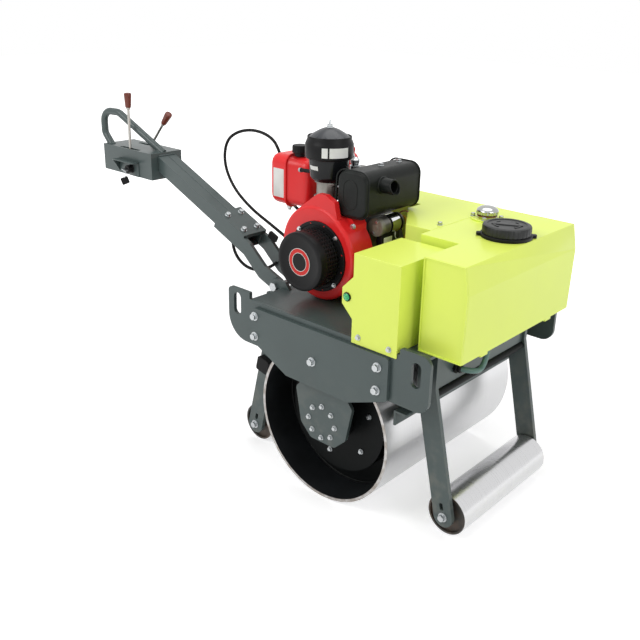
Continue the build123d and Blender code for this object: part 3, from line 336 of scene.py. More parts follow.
def dressed(made, finish, body, stands_for=None):
    """Links an object, gives it its finish and body, and hides the solid it stands for."""
    bpy.context.scene.collection.objects.link(made)
    made.data.materials.append(FINISHES[finish])
    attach(made, body)
    if stands_for:
        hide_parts(stands_for)
    return made


# Finishes


class Wire:
    """A socket of a node tree: arithmetic on it adds Math nodes, and node() adds any other node."""

    def __init__(self, tree, socket=None):
        self.tree = tree
        self.socket = socket

    def node(self, kind, settings=None, sockets=None, out=0):
        """Adds a node: its settings first, then its sockets' values or links."""
        made = self.tree.nodes.new(kind)
        for name, value in (settings or {}).items():
            setattr(made, name, value)
        for name, value in (sockets or {}).items():
            if isinstance(value, Wire):
                self.tree.links.new(value.socket, made.inputs[name])
            else:
                made.inputs[name].default_value = value
        return Wire(self.tree, made.outputs[out])

    def math(self, operation, first, second=0.0):
        """Adds a Math node."""
        return self.node("ShaderNodeMath", {"operation": operation}, {0: first, 1: second})

    def __add__(self, other):
        return self.math("ADD", self, other)

    def __radd__(self, other):
        return self.math("ADD", other, self)

    def __sub__(self, other):
        return self.math("SUBTRACT", self, other)

    def __rsub__(self, other):
        return self.math("SUBTRACT", other, self)

    def __mul__(self, other):
        return self.math("MULTIPLY", self, other)

    def __rmul__(self, other):
        return self.math("MULTIPLY", other, self)

    def __gt__(self, other):
        return self.math("GREATER_THAN", self, other)

    def __lt__(self, other):
        return self.math("LESS_THAN", self, other)


class Finish:
    """A material with one shader, and the patterns that its sockets take."""

    def __init__(self, name, **fixed):
        self.material = bpy.data.materials.new(name)
        self.material.use_nodes = True
        self.tree = self.material.node_tree
        self.shader = next(n for n in self.tree.nodes if n.type == "BSDF_PRINCIPLED")
        self.wire = Wire(self.tree)
        self.place = self.wire.node("ShaderNodeTexCoord", out=3)
        for socket, value in fixed.items():
            self.set(socket.replace("_", " "), value)

    def set(self, socket, value):
        """Links a pattern to the shader's socket, or sets the socket's own value."""
        if isinstance(value, Wire):
            self.tree.links.new(value.socket, self.shader.inputs[socket])
        else:
            self.shader.inputs[socket].default_value = value

    def noise(self, waves, detail, stretch=(1, 1, 1), rough=0.5):
        """Noise of so many waves a metre, squeezed along the axes by stretch."""
        where = self.wire.node("ShaderNodeMapping", None, {"Vector": self.place, "Scale": stretch})
        return self.wire.node("ShaderNodeTexNoise", None, {
            "Vector": where, "Scale": waves, "Detail": detail, "Roughness": rough})

    def grooves(self, waves):
        """Noise drawn out into lines by its waves a metre along each axis."""
        return self.noise(1, 4, waves, rough=0.7)

    def ramp(self, value, low, high):
        """Zero below low and one above high, smooth between them."""
        return self.wire.node(
            "ShaderNodeMapRange", {"interpolation_type": "SMOOTHSTEP"},
            {"Value": value, "From Min": low, "From Max": high})

    def mix(self, factor, first, second):
        """Colour between two, each a tuple of three or a wire."""
        full = [c if isinstance(c, Wire) else (*c, 1) for c in (first, second)]
        return self.wire.node(
            "ShaderNodeMix", {"data_type": "RGBA"}, {0: factor, 6: full[0], 7: full[1]}, out=2)

    def shades(self, factor, colour, dark, light):
        """Colour between a dark and a light share of itself."""
        return self.mix(factor, tinted(colour, dark), tinted(colour, light))

    def axis(self, index):
        """One of the object's own coordinates."""
        return self.wire.node("ShaderNodeSeparateXYZ", None, {0: self.place}, out=index)

    def from_axle(self, axle):
        """Distance from an axle along y: the root of the two squares across it."""
        x = self.axis(0) - float(axle[0])
        z = self.axis(2) - float(axle[2])
        return self.wire.math("SQRT", x * x + z * z)

    def bump(self, height, strength, distance):
        """Raises the surface by a pattern."""
        self.set("Normal", self.wire.node(
            "ShaderNodeBump", None, {"Height": height, "Strength": strength, "Distance": distance}))


def tinted(colour, share):
    """A colour made darker or lighter by a share."""
    return tuple(min(1.0, c * share) for c in colour)


DUST = (0.27, 0.25, 0.21)
RIM_RUST = (0.2, 0.16, 0.12)
END_RUST = (0.07, 0.045, 0.03)
EDGE_BAND = 0.0012
RIM_BAND = 0.0006


def enamel(name, colour, rough, coat, shine, peel, dust=0.0, drift=0.06):
    """Sprayed enamel: soft clouds in the colour, a fine orange peel, and a little dust low down."""
    made = Finish(name, Coat_Weight=coat, Coat_Roughness=0.12, Specular_IOR_Level=shine)
    cloud = made.noise(waves=7, detail=4)
    speck = made.noise(waves=160, detail=2)
    body = made.shades(made.ramp(cloud, 0.3, 0.7), colour, 1 - drift, 1 + drift)
    settled = made.ramp(made.noise(waves=24, detail=5), 0.42, 0.72)
    low = (1 - made.ramp(made.axis(2), 0.02, 0.42)) * settled * dust
    made.set("Base Color", made.mix(low, body, DUST))
    made.set("Roughness", rough + (cloud - 0.5) * 0.12 + (speck - 0.5) * 0.08 + low * 0.3)
    made.bump(made.noise(waves=420, detail=2), strength=peel, distance=0.0006)
    return made.material


def drawn_steel(name, colour, rough, waves):
    """Drawn or brushed steel: fine grooves across two axes, and faint stains."""
    made = Finish(name, Metallic=1.0)
    groove = made.grooves(waves)
    stain = made.noise(waves=9, detail=5)
    shade = made.shades(made.ramp(groove, 0.25, 0.75), colour, 0.86, 1.1)
    made.set("Base Color", made.mix(made.ramp(stain, 0.5, 0.85) * 0.35, shade, tinted(colour, 0.72)))
    made.set("Roughness", rough + (groove - 0.5) * 0.22 + (stain - 0.5) * 0.1)
    made.bump(groove, strength=0.06, distance=0.0008)
    return made.material


def drum_steel(name, bare, black):
    """Drum plate: bare turned steel outside and on the rims, black paint with stains inside."""
    made = Finish(name)
    rim = made.wire.math("ABSOLUTE", made.axis(1)) > DRUM_HALF - RIM_BAND
    outside = made.wire.math("MAXIMUM", made.from_axle(DRUM_AXIS) > DRUM_RADIUS - EDGE_BAND, rim)
    groove = made.grooves((3, 900, 3))
    stain = made.noise(waves=8, detail=6)
    worn = made.ramp(made.noise(waves=60, detail=4), 0.35, 0.65)
    steel = made.shades(made.ramp(groove, 0.25, 0.75), bare, 0.97, 1.03)
    steel = made.mix(made.ramp(stain, 0.52, 0.8) * 0.2, steel, tinted(bare, 0.8))
    steel = made.mix(rim * (0.35 + worn * 0.4), steel, RIM_RUST)
    inner = made.shades(made.ramp(stain, 0.35, 0.7), black, 0.7, 1.5)
    made.set("Base Color", made.mix(outside, inner, steel))
    made.set("Metallic", outside * 0.9)
    made.set("Roughness", 0.34 + (groove - 0.5) * 0.06 + (stain - 0.5) * 0.08 + (1 - outside) * 0.08)
    made.bump(made.noise(waves=220, detail=3), strength=0.1, distance=0.0005)
    return made.material


def roller_steel(name, axle, bare, dark=(0.03, 0.028, 0.024)):
    """Support roller: bright turned steel outside, rusty dark steel at its recessed ends."""
    made = Finish(name)
    outside = made.from_axle(axle) > ROLLER_RADIUS - EDGE_BAND
    groove = made.grooves((3, 1100, 3))
    stain = made.noise(waves=30, detail=5)
    steel = made.shades(made.ramp(groove, 0.25, 0.75), bare, 0.97, 1.03)
    ends = made.mix(made.ramp(stain, 0.35, 0.7), dark, END_RUST)
    made.set("Base Color", made.mix(outside, ends, steel))
    made.set("Metallic", outside * 0.9 + 0.05)
    made.set("Roughness", 0.28 + (groove - 0.5) * 0.06 + (1 - outside) * 0.25)
    made.bump(groove, strength=0.02, distance=0.0004)
    return made.material


def casting(name, colour, rough, metallic, grain=520):
    """Sand-cast metal: a coarse skin and oily darker clouds."""
    made = Finish(name, Metallic=metallic, Specular_IOR_Level=0.16)
    cloud = made.noise(waves=22, detail=5)
    made.set("Base Color", made.shades(made.ramp(cloud, 0.32, 0.72), colour, 0.62, 1.12))
    made.set("Roughness", rough + (cloud - 0.5) * 0.25)
    made.bump(made.noise(waves=grain, detail=4), strength=0.35, distance=0.0008)
    return made.material


def moulding(name, colour, rough, grain, coat=0.0, shine=0.14):
    """Moulded plastic or rubber: a fine grain, and roughness that drifts a little."""
    made = Finish(name, Coat_Weight=coat, Coat_Roughness=0.2, Specular_IOR_Level=shine)
    cloud = made.noise(waves=18, detail=4)
    made.set("Base Color", made.shades(cloud, colour, 0.8, 1.25))
    made.set("Roughness", rough + (cloud - 0.5) * 0.14)
    made.bump(made.noise(waves=grain, detail=3), strength=0.16, distance=0.0005)
    return made.material


def plating(name, colour, rough):
    """Bright or zinc plating: almost a mirror, with faint fingermarks."""
    made = Finish(name, Metallic=1.0)
    mark = made.noise(waves=90, detail=4)
    made.set("Base Color", made.shades(mark, colour, 0.88, 1.06))
    made.set("Roughness", rough + (mark - 0.5) * 0.16)
    made.bump(made.noise(waves=700, detail=2), strength=0.05, distance=0.0003)
    return made.material


def lens(name, colour):
    """Clear coloured lens over a dim lamp."""
    made = Finish(name, Roughness=0.12, Coat_Weight=0.6, Emission_Strength=0.25)
    cell = made.noise(waves=260, detail=1)
    made.set("Base Color", made.shades(cell, colour, 0.8, 1.2))
    made.set("Emission Color", made.shades(cell, colour, 0.5, 1.0))
    made.bump(cell, strength=0.1, distance=0.0006)
    return made.material


# Settings


class RollerPaints(bpy.types.PropertyGroup):
    """Colours of the roller's finishes."""

    grey: FloatVectorProperty(
        name="Frame grey", description="Enamel of the plates, legs and handle", subtype="COLOR", size=3,
        min=0, max=1, default=(0.06, 0.082, 0.08))
    lime: FloatVectorProperty(
        name="Panel lime", description="Enamel of the water tank and covers", subtype="COLOR", size=3,
        min=0, max=1, default=(0.77, 0.9, 0.13))
    red: FloatVectorProperty(
        name="Engine red", description="Enamel of the blower housing and fuel tank", subtype="COLOR", size=3,
        min=0, max=1, default=(0.75, 0.02, 0.022))
    steel: FloatVectorProperty(
        name="Bare steel", description="Turned steel of the drum and rollers", subtype="COLOR", size=3,
        min=0, max=1, default=(0.66, 0.66, 0.67))
    knob: FloatVectorProperty(
        name="Knob brown", description="Moulded knobs of the control levers", subtype="COLOR", size=3,
        min=0, max=1, default=(0.16, 0.035, 0.02))


class RollerFasteners(bpy.types.PropertyGroup):
    """Sizes of the roller's bolts, over their flats."""

    frame_flat: FloatProperty(
        name="Frame bolts", description="Width over flats of the cover plates' bolts", unit="LENGTH",
        default=0.0155, min=0.008, max=0.03)
    small_flat: FloatProperty(
        name="Small bolts", description="Width over flats of the hangers' and drum's bolts", unit="LENGTH",
        default=0.0095, min=0.006, max=0.02)
    screw_flat: FloatProperty(
        name="Engine screws", description="Width over flats of the engine's and covers' screws",
        unit="LENGTH", default=0.010, min=0.004, max=0.016)


class RollerStudio(bpy.types.PropertyGroup):
    """Camera and light of the studio."""

    azimuth: FloatProperty(
        name="Azimuth", description="Turn of the camera about the roller, in degrees", default=41.223)
    elevation: FloatProperty(name="Elevation", description="Height of the camera, in degrees", default=20.71)
    roll: FloatProperty(name="Roll", description="Tilt of the camera's horizon, in degrees", default=1.528)
    distance: FloatProperty(
        name="Distance", description="From the camera to its target", default=2.6712, unit="LENGTH")
    lens: FloatProperty(
        name="Lens", description="Focal length in millimetres on a 36 mm sensor", default=46.118)
    ambient: FloatProperty(
        name="Ambient", description="Strength of the studio's even light", default=0.48, min=0)
    key: FloatProperty(name="Key light", description="Power of the main lamp, in watts", default=52.0, min=0)
    floor: FloatProperty(name="Floor", description="Half width of the floor", default=12.0, unit="LENGTH")


# Finishes of the solids that no piece stands for
NODE_FINISH = {
    "grey": (
        "deck", "side_plate_right", "side_plate_left", "outer_plate_right", "outer_plate_left", "hangers",
        "front_legs", "rear_legs", "front_cross_plate", "hinge_lugs", "handle_fork", "handle_arm",
        "control_box", "engine_rails", "scraper_bar",
    ),
    "lime": ("water_tank", "belt_guard", "battery_box"),
    "red": ("blower_housing",),
    "black": ("bearing_housings", "drum_heads", "spray_tube"),
    "muffler_black": ("muffler",),
    "drum": ("drum_shell",),
    "front_steel": ("front_roller",),
    "rear_steel": ("rear_roller",),
    "zinc": ("front_axle", "rear_axle", "hinge_bolt"),
    "cast": ("crankcase",),
    "alloy": ("cylinder", "starter_motor"),
    "rubber": ("rubber_mounts", "rubber_stop", "leg_stops"),
}


class ROLLER_OT_finishes(bpy.types.Operator):
    """Makes the finishes and puts them on the solids"""

    bl_idname = "roller.finishes"
    bl_label = "Finishes"

    def execute(self, context):
        paint = context.scene.roller_paints
        grey, lime, red, steel, knob = (
            tuple(colour) for colour in (paint.grey, paint.lime, paint.red, paint.steel, paint.knob))
        FINISHES.update(
            grey=enamel("frame_grey_enamel", grey, rough=0.36, coat=0.12, shine=0.35, peel=0.12, dust=0.3),
            lime=enamel("panel_lime_enamel", lime, rough=0.42, coat=0.2, shine=0.45, peel=0.06, drift=0.012),
            red=enamel("engine_red_enamel", red, rough=0.3, coat=0.1, shine=0.28, peel=0.03),
            black=enamel("black_enamel", (0.006, 0.007, 0.007), rough=0.42, coat=0.0, shine=0.08, peel=0.08),
            muffler_black=casting("stove_black", (0.011, 0.013, 0.012), rough=0.4, metallic=0.0, grain=900),
            drum=drum_steel("drum_plate", steel, black=(0.007, 0.008, 0.009)),
            front_steel=roller_steel("front_roller_steel", FRONT_AXLE, steel),
            rear_steel=roller_steel("rear_roller_steel", REAR_AXLE, steel),
            zinc=plating("zinc_plate", (0.5, 0.52, 0.53), rough=0.32),
            chrome=plating("chrome_plate", (0.86, 0.87, 0.88), rough=0.08),
            bright=plating("bright_plate", (0.46, 0.47, 0.46), rough=0.14),
            rod=drawn_steel("drawn_rod", (0.42, 0.41, 0.38), rough=0.32, waves=(600, 600, 6)),
            cast=casting("engine_casting", (0.14, 0.145, 0.14), rough=0.55, metallic=0.3),
            alloy=casting("alloy_casting", (0.3, 0.29, 0.265), rough=0.42, metallic=0.75),
            pale_alloy=casting("starter_end_casting", (0.38, 0.37, 0.31), rough=0.5, metallic=0.45),
            plastic=moulding("black_moulding", (0.008, 0.008, 0.0085), rough=0.4, grain=900),
            gloss=moulding("gloss_black_moulding", (0.007, 0.008, 0.009), rough=0.22, grain=500, coat=0.15),
            rubber=moulding("black_rubber", (0.012, 0.012, 0.012), rough=0.6, grain=1400),
            knob=moulding("brown_knob", knob, rough=0.25, grain=500, coat=0.4),
            hose=moulding("tinted_hose", (0.1, 0.19, 0.17), rough=0.25, grain=300, coat=0.3),
            amber=moulding("amber_insulation", (0.55, 0.3, 0.02), rough=0.4, grain=600),
            pale=moulding("pale_label", (0.72, 0.73, 0.7), rough=0.42, grain=800, shine=0.4),
            lid=moulding(
                "filter_lid_moulding", (0.01, 0.013, 0.018), rough=0.34, grain=500, coat=0.3, shine=0.4),
            cap=moulding(
                "tank_cap_moulding", (0.01, 0.011, 0.011), rough=0.4, grain=700, coat=0.1, shine=0.3),
            red_plastic=moulding("red_moulding", (0.6, 0.02, 0.015), rough=0.35, grain=600, coat=0.2),
            green=lens("green_lens", (0.005, 0.36, 0.11)),
        )
        for finish, nodes in NODE_FINISH.items():
            for node in nodes:
                slots = frame["nodes"][node].data.materials
                slots.clear()
                slots.append(FINISHES[finish])
        return {"FINISHED"}


# Cords, along the points of their solids
CABLE_RADIUS = 0.0045
HOSE_RADIUS = 0.007
CABLE_ROUTE = (
    (-195, -45, 545), (-250, -45, 545), (-330, -43, 566), (-420, -42, 602), (-510, -40, 634),
    (-592, -36, 682), (-640, -30, 748), (-636, -24, 816), (-590, -18, 850), (-522, -12, 863),
    (-456, -6, 848), (-432, 0, 808), (-424, 6, 765), (-421, 12, 704), (-392, 16, 654), (-332, 20, 634),
    (-266, 22, 628), (-195, 22, 628),
)
HOSE_ROUTE = ((322, -42, 490), (322, -46, 397), (322, -122, 415), (283.1, -122, 415))
CONTROL_ROUTE = (
    (-490, -125, 584.2), (-500, -125, 561), (-497, -125, 532), (-476, -124, 503), (-440, -121, 486),
    (-398, -115, 488), (-366, -106, 502), (-346, -97, 520),
)
CORDS = (
    ("throttle_cable", CABLE_ROUTE, CABLE_RADIUS, "rubber", "stiff", "frame"),
    ("water_hose", HOSE_ROUTE, HOSE_RADIUS, "hose", "medium", "frame"),
    ("control_cable", CONTROL_ROUTE, CABLE_RADIUS, "rubber", "stiff", "handle"),
)


class ROLLER_OT_cords(bpy.types.Operator):
    """Lays the throttle cable, the water hose and the control cable along their routes"""

    bl_idname = "roller.cords"
    bl_label = "Cords"

    def execute(self, context):
        for node, route, radius, finish, stiff, body in CORDS:
            points = spots(route)
            curve = bpy.data.curves.new(node + "_run", "CURVE")
            curve.dimensions = "3D"
            curve.bevel_depth = radius
            curve.bevel_resolution = 5
            curve.use_fill_caps = True
            spline = curve.splines.new("NURBS")
            spline.points.add(len(points) - 1)
            spline.points.foreach_set("co", np.column_stack([points, np.ones(len(points))]).ravel())
            spline.order_u = 3
            spline.use_endpoint_u = True
            made = dressed(bpy.data.objects.new(node + "_run", curve), finish, body, stands_for=node)
        return {"FINISHED"}


# Bolts: the shares are those of the hexagon, head, washer and washer's sheet in the width over flats
FRAME_BOLT = np.array((1, 0.46, 0.78, 0.14))
RECOIL_SCREW = np.array((0.8, 0.4, 0.62, 0.08))
MUFFLER_SCREW = np.array((1, 0.5, 0.75, 0.1))
COVER_SCREW = np.array((1, 0.6, 0.7, 0.12))
COVER_BOLTS = ((-217, 453), (-217, 397), (-14, 391), (189, 445), (188, 386))
HANGER_MIDDLE = (-3.5, 214)
HANGER_BOLT_RING = 44.5
DRUM_BOLT_RING = 111
DRUM_BOLT_START = math.radians(19)
PANEL_SCREWS = ((124, 497), (214, 495))
FOOT_TOP = 514
FOOT_BOLTS_X = (-199, -33)
FOOT_BOLTS_Y = (-78, 58)
# The handle's arm, from the knee between fork and arm
HANDLE_Y = -125
ARM_SLOPE = math.radians(23.5)
ARM_ALONG = np.array((-math.cos(ARM_SLOPE), 0, math.sin(ARM_SLOPE)))
ARM_UP = np.array((math.sin(ARM_SLOPE), 0, math.cos(ARM_SLOPE)))
KNEE = at(-394.97, HANDLE_Y, 564.84)
ARM_TOP = 22
CLAMP_TOP = 30
CLAMP_BOLTS_ALONG = (45, 117)
CLAMP_BOLTS_SIDE = (-25, 25)


def on_arm(along, side, above):
    """Points so far up the arm from the knee, to its left, and above its middle line, in millimetres."""
    along, side, above = (part[..., None] for part in np.broadcast_arrays(along, side, above))
    return KNEE + (along * ARM_ALONG + side * LEFT + above * ARM_UP) / 1000


class ROLLER_OT_fasteners(bpy.types.Operator):
    """Bolts the cover plates, hangers, drum heads, axles, covers, engine feet and clamp plate"""

    bl_idname = "roller.fasteners"
    bl_label = "Fasteners"

    def execute(self, context):
        sizes = context.scene.roller_fasteners
        large, small = (bolt(*flat * FRAME_BOLT) for flat in (sizes.frame_flat, sizes.small_flat))
        hanger_ring = circle(HANGER_BOLT_RING, 8) + HANGER_MIDDLE
        drum_ring = circle(DRUM_BOLT_RING, 6, DRUM_BOLT_START) + (0, DRUM_RADIUS * 1000)
        rows = (
            ("cover_bolts_", large, "outer_plate_left", upright(COVER_BOLTS), "frame"),
            ("hanger_bolts_", small, "hangers", upright(hanger_ring), "frame"),
            ("axle_bolts_", large, "front_legs", np.array((FRONT_AXLE, REAR_AXLE)) * (FORWARD + UP), "frame"),
            ("drum_bolts_", small, "drum_heads", upright(drum_ring), "drum"),
        )
        for hand, out in (("right", RIGHT), ("left", LEFT)):
            for name, shape, node, places, body in rows:
                piece(name + hand, repeated(shape, places + out * face_of(node, 1, 1), out), "zinc", body)
        panel = face_of("battery_box", 1, 0) * 1000
        piece("panel_screws", repeated(small, upright(PANEL_SCREWS, panel), RIGHT), "zinc")
        feet = spots([(x, y, FOOT_TOP) for x in FOOT_BOLTS_X for y in FOOT_BOLTS_Y])
        piece("engine_foot_bolts", repeated(small, feet), "zinc")
        clamp_bolt = bolt(flat=0.0125, head=0.006, washer=0.009, sheet=0.0016)
        clamp = [on_arm(along, side, CLAMP_TOP) for along in CLAMP_BOLTS_ALONG for side in CLAMP_BOLTS_SIDE]
        piece("clamp_bolts", repeated(clamp_bolt, clamp, ARM_UP, ARM_ALONG), "zinc", "handle")
        return {"FINISHED"}


# Handle: levers by place, lean in degrees and length, the lock, and the loop tube
LEVER_FOOT = 758
LEVERS = ((-914, HANDLE_Y - 46, 1, 0.138), (-926, HANDLE_Y + 32, 42, 0.122))
ROD_RADIUS, ROD_FOOT, ROD_NUT = 0.004, 0.0052, 0.0062
KNOB_PROFILE = (
    (0.0078, 0), (0.0086, 0.0012), (0.0092, 0.006), (0.0112, 0.034), (0.0114, 0.039), (0.0106, 0.0425),
    (0.0082, 0.0438), (0.004, 0.0443),
)
HOOD = at(-909, 0, 735)
HOOD_REACH = 0.013
HOOD_CHEEK = ((0, 0), (0.026, 0), (0.024, 0.004), (0.002, 0.037), (0, 0.038))
HOOD_CHEEK_PLACE = (-0.052, 0, 0.0015)
HOOD_MOUNT_PLACE = (0.026, 0, -0.021)
LOCK = at(-893, 0, 714)
LOCK_PROFILE = (
    (0.0135, 0.001), (0.0135, 0.0045), (0.012, 0.0055), (0.0118, 0.016), (0.011, 0.0182), (0.008, 0.0182))
LOCK_RING_PROFILE = ((0.0125, 0), (0.0125, 0.0015), (0.0112, 0.003), (0.0085, 0.003), (0.008, 0.0018))
LOCK_REACH = 0.018
KEY_LINK = (0.0045 * FORWARD, 0.002 * LEFT + 0.012 * UP)
KEY_LINK_PLACE = np.array((0, -0.011, -0.012))
KEY_WIRE = 0.0009
KEY_ALONG = (0.3, 0, 1)
FOB_PLACE = np.array((-0.002, -0.01, -0.034))
FOB_FACE, FOB_ALONG = (0.6, -0.75, 0.2), (-0.5, 0, 0.87)
ARM_SEAM = (146, 436)
ARM_SEAM_SIDE = 3
ARM_ROOT = 445
ARM_ROOT_HALF = 30
LOOP_FEET = (((-1025, -163, 772.5), 0.012), ((-824, -126, 772.5), 0.0135))
LOOP_POINTS = (
    (-1018, -163, 765), (-1055, -163, 802), (-1055, -163, 872), (-985, -155.4, 872), (-810, -123.4, 766.6))
LOOP_BENDS = (0.024, 0.034, 0.036)
LOOP_RADIUS = 0.011
SEAM_BEAD, ROOT_BEAD, FOOT_BEAD = 0.0013, 0.0026, 0.0022
ROOT_BEAD_LIFT = 0.6
BEAD_STEPS = 40


class ROLLER_OT_handle(bpy.types.Operator):
    """Fits the handle's loop tube, levers, key with its hood, arm seam and weld beads"""

    bl_idname = "roller.handle"
    bl_label = "Handle fittings"

    def execute(self, context):
        rods, knobs = [], []
        for x, y, lean, length in LEVERS:
            tilt = math.radians(lean)
            up = math.sin(tilt) * FORWARD + math.cos(tilt) * UP
            foot = at(x, y, LEVER_FOOT)
            rod = lathe([
                (ROD_FOOT, 0.0006 + ROD_FOOT * math.tan(tilt)), (ROD_RADIUS, 0.012),
                (ROD_RADIUS, length - 0.006), (ROD_NUT, length - 0.005), (ROD_NUT, length + 0.001),
            ], 20)
            rods.append(placed(rod, foot, up))
            knobs.append(placed(lathe(KNOB_PROFILE, 32), foot + length * up, up))
        piece("lever_rods", merged(rods), "rod", "handle", stands_for="control_levers")
        piece("lever_knobs", merged(knobs), "knob", "handle")
        self.key()
        seam = on_arm(np.linspace(*ARM_SEAM, 60), ARM_SEAM_SIDE, ARM_TOP)
        across = np.linspace(-ARM_ROOT_HALF, ARM_ROOT_HALF, BEAD_STEPS)
        root = on_arm(ARM_ROOT, across, ARM_TOP + ROOT_BEAD_LIFT)
        beads = [tube(seam, circle(SEAM_BEAD, 8)), tube(root, circle(ROOT_BEAD, 10), ripple=bead(BEAD_STEPS))]
        for foot, radius in LOOP_FEET:
            path = laid(circle(radius, BEAD_STEPS), at(*foot), FORWARD, LEFT)
            beads.append(tube(path, circle(FOOT_BEAD, 8), closed=True, ripple=bead(BEAD_STEPS)))
        piece("handle_welds", merged(beads), "grey", "handle")
        loop = tube(bent(spots(LOOP_POINTS), LOOP_BENDS), circle(LOOP_RADIUS, 28), LEFT)
        piece("loop_tube", loop, "grey", "handle", stands_for="handle_loop")
        return {"FINISHED"}

    def key(self):
        """Fits the hood, the lock, the key and its fob to the control box's right face."""
        face = face_of("control_box", 1, 0) * LEFT
        hood = plate(width=0.104, height=0.026, corner=0.002, low=0, high=0.003, edge=0.0008)
        cheek = slab(HOOD_CHEEK, low=0, high=0.003, edge=0.0006)
        mount = plate(width=0.05, height=0.044, corner=0.002, low=-0.001, high=0.0025, edge=0.0006)
        piece("key_hood", merged([
            placed(hood, HOOD + face + HOOD_REACH * RIGHT),
            placed(cheek, HOOD + face + HOOD_CHEEK_PLACE, FORWARD, RIGHT),
            placed(mount, HOOD + face + HOOD_MOUNT_PLACE, RIGHT),
        ]), "grey", "handle", stands_for="key_switch")
        piece("lock_body", placed(lathe(LOCK_PROFILE, 40), LOCK + face, RIGHT), "plastic", "handle")
        barrel = LOCK + face + LOCK_REACH * RIGHT
        piece("lock_ring", placed(lathe(LOCK_RING_PROFILE, 32), barrel, RIGHT), "plastic", "handle")
        blade = plate(width=0.0026, height=0.0165, corner=0.0012, low=-0.001, high=0.017, edge=0.0004)
        link = laid(circle(1, 24), barrel + KEY_LINK_PLACE, *KEY_LINK)
        piece("ignition_key", merged([
            placed(blade, barrel, RIGHT, KEY_ALONG), tube(link, circle(KEY_WIRE, 8), RIGHT, True),
        ]), "zinc", "handle")
        fob = plate(width=0.022, height=0.023, corner=0.003, low=-0.0032, high=0.0032, edge=0.0009, steps=5)
        piece("key_fob", placed(fob, barrel + FOB_PLACE, FOB_FACE, FOB_ALONG), "plastic", "handle")


# Recoil starter, as radius and height; the end cap's heights are measured back from its face
CRANK = at(-118, 0, 610)
FLANGE_PROFILE = (
    (0.06, 0), (0.092, 0), (0.092, 0.0046), (0.0905, 0.006), (0.0835, 0.006), (0.082, 0.0045), (0.06, 0.0045))
END_CAP_PROFILE = (
    (0.07, 0.024), (0.0745, 0.024), (0.076, 0.0225), (0.076, 0.004), (0.0745, 0.0012), (0.071, 0), (0.062, 0),
    (0.0605, 0.0008), (0.02, 0.0008),
)
CORE_RADIUS = 0.069
CORE_FOOT, CORE_BACK = 0.004, 0.022
SCREEN_RADIUS = 0.0755
SCREEN_BACK = 0.021
SCREEN_SHEET = 0.0012
SCREEN_JOIN = 0.0001
RING_MARK = (0.0238, 0.0348)
RING_LINES = (0.023, 0.0343)
RING_LINE_WIDTH = 0.0012
RING_DEEP, RING_MARK_BACK = 0.001, 0.0002
FLANGE_SCREW_RING = 0.0872
SCREW_SEAT, RIVET_SEAT = 0.006, 0.0058
RIVET_PROFILE = ((0.0019, 0), (0.0019, 0.0003), (0.0012, 0.0005))


class ROLLER_OT_recoil(bpy.types.Operator):
    """Builds the recoil starter: flange, perforated screen, end cap, plain red ring, screws and rivets"""

    bl_idname = "roller.recoil"
    bl_label = "Recoil starter"

    def execute(self, context):
        back, front = face_of("recoil_starter", 1, 1), face_of("recoil_starter", 1, 0)
        middle, deep = CRANK + back * LEFT, back - front
        flange = lathe(FLANGE_PROFILE, 96)
        core = lathe([(CORE_RADIUS, CORE_FOOT), (CORE_RADIUS, deep - CORE_BACK)], 64)
        cap = lathe(np.array((0, deep)) + np.array(END_CAP_PROFILE) * (1, -1), 96)
        screen = perforated(SCREEN_RADIUS, CORE_FOOT, deep - SCREEN_BACK, around=44, rows=5)
        piece("recoil_flange", placed(flange, middle, RIGHT), "plastic", stands_for="recoil_starter")
        piece("recoil_core", placed(core, middle, RIGHT), "rubber")
        piece("recoil_cap", placed(cap, middle, RIGHT), "plastic")
        sheet = piece("recoil_screen", placed(screen, middle, RIGHT), "plastic")
        joined = sheet.modifiers.new("joined", "WELD")
        joined.merge_threshold = SCREEN_JOIN
        thick = sheet.modifiers.new("sheet", "SOLIDIFY")
        thick.thickness = SCREEN_SHEET
        mark = band(*RING_MARK, deep - RING_DEEP, deep - RING_MARK_BACK)
        lines = merged([band(inner, inner + RING_LINE_WIDTH, deep - RING_DEEP, deep) for inner in RING_LINES])
        piece("recoil_ring_mark", placed(mark, middle, RIGHT), "red_plastic")
        piece("recoil_ring_lines", placed(lines, middle, RIGHT), "pale")
        screw = bolt(*context.scene.roller_fasteners.screw_flat * RECOIL_SCREW)
        seats = laid(circle(FLANGE_SCREW_RING, 4, math.pi / 4), middle + SCREW_SEAT * RIGHT)
        piece("recoil_screws", repeated(screw, seats, RIGHT), "zinc")
        rivets = laid(circle(FLANGE_SCREW_RING, 12, math.pi / 12), middle + RIVET_SEAT * RIGHT)
        piece("recoil_rivets", repeated(lathe(RIVET_PROFILE, 12), rivets, RIGHT), "red_plastic")
        return {"FINISHED"}


# Air cleaner, by heights above its foot, with its intake
FILTER_WAIST, FILTER_RIM, FILTER_DOME, FILTER_TOP = 0.058, 0.112, 0.136, 0.154
LID_RADIUS = 0.0505
POT_LABEL_RADIUS = 0.0512
SNORKEL_ROUTE = ((-196, -97, 800), (-215, -94, 800.5), (-240, -92, 799), (-262, -90, 797.5))
SNORKEL_RADIUS = 0.005
INTAKE_FLANGE = at(-155, -97, 783)
INTAKE_STUD = 0.03


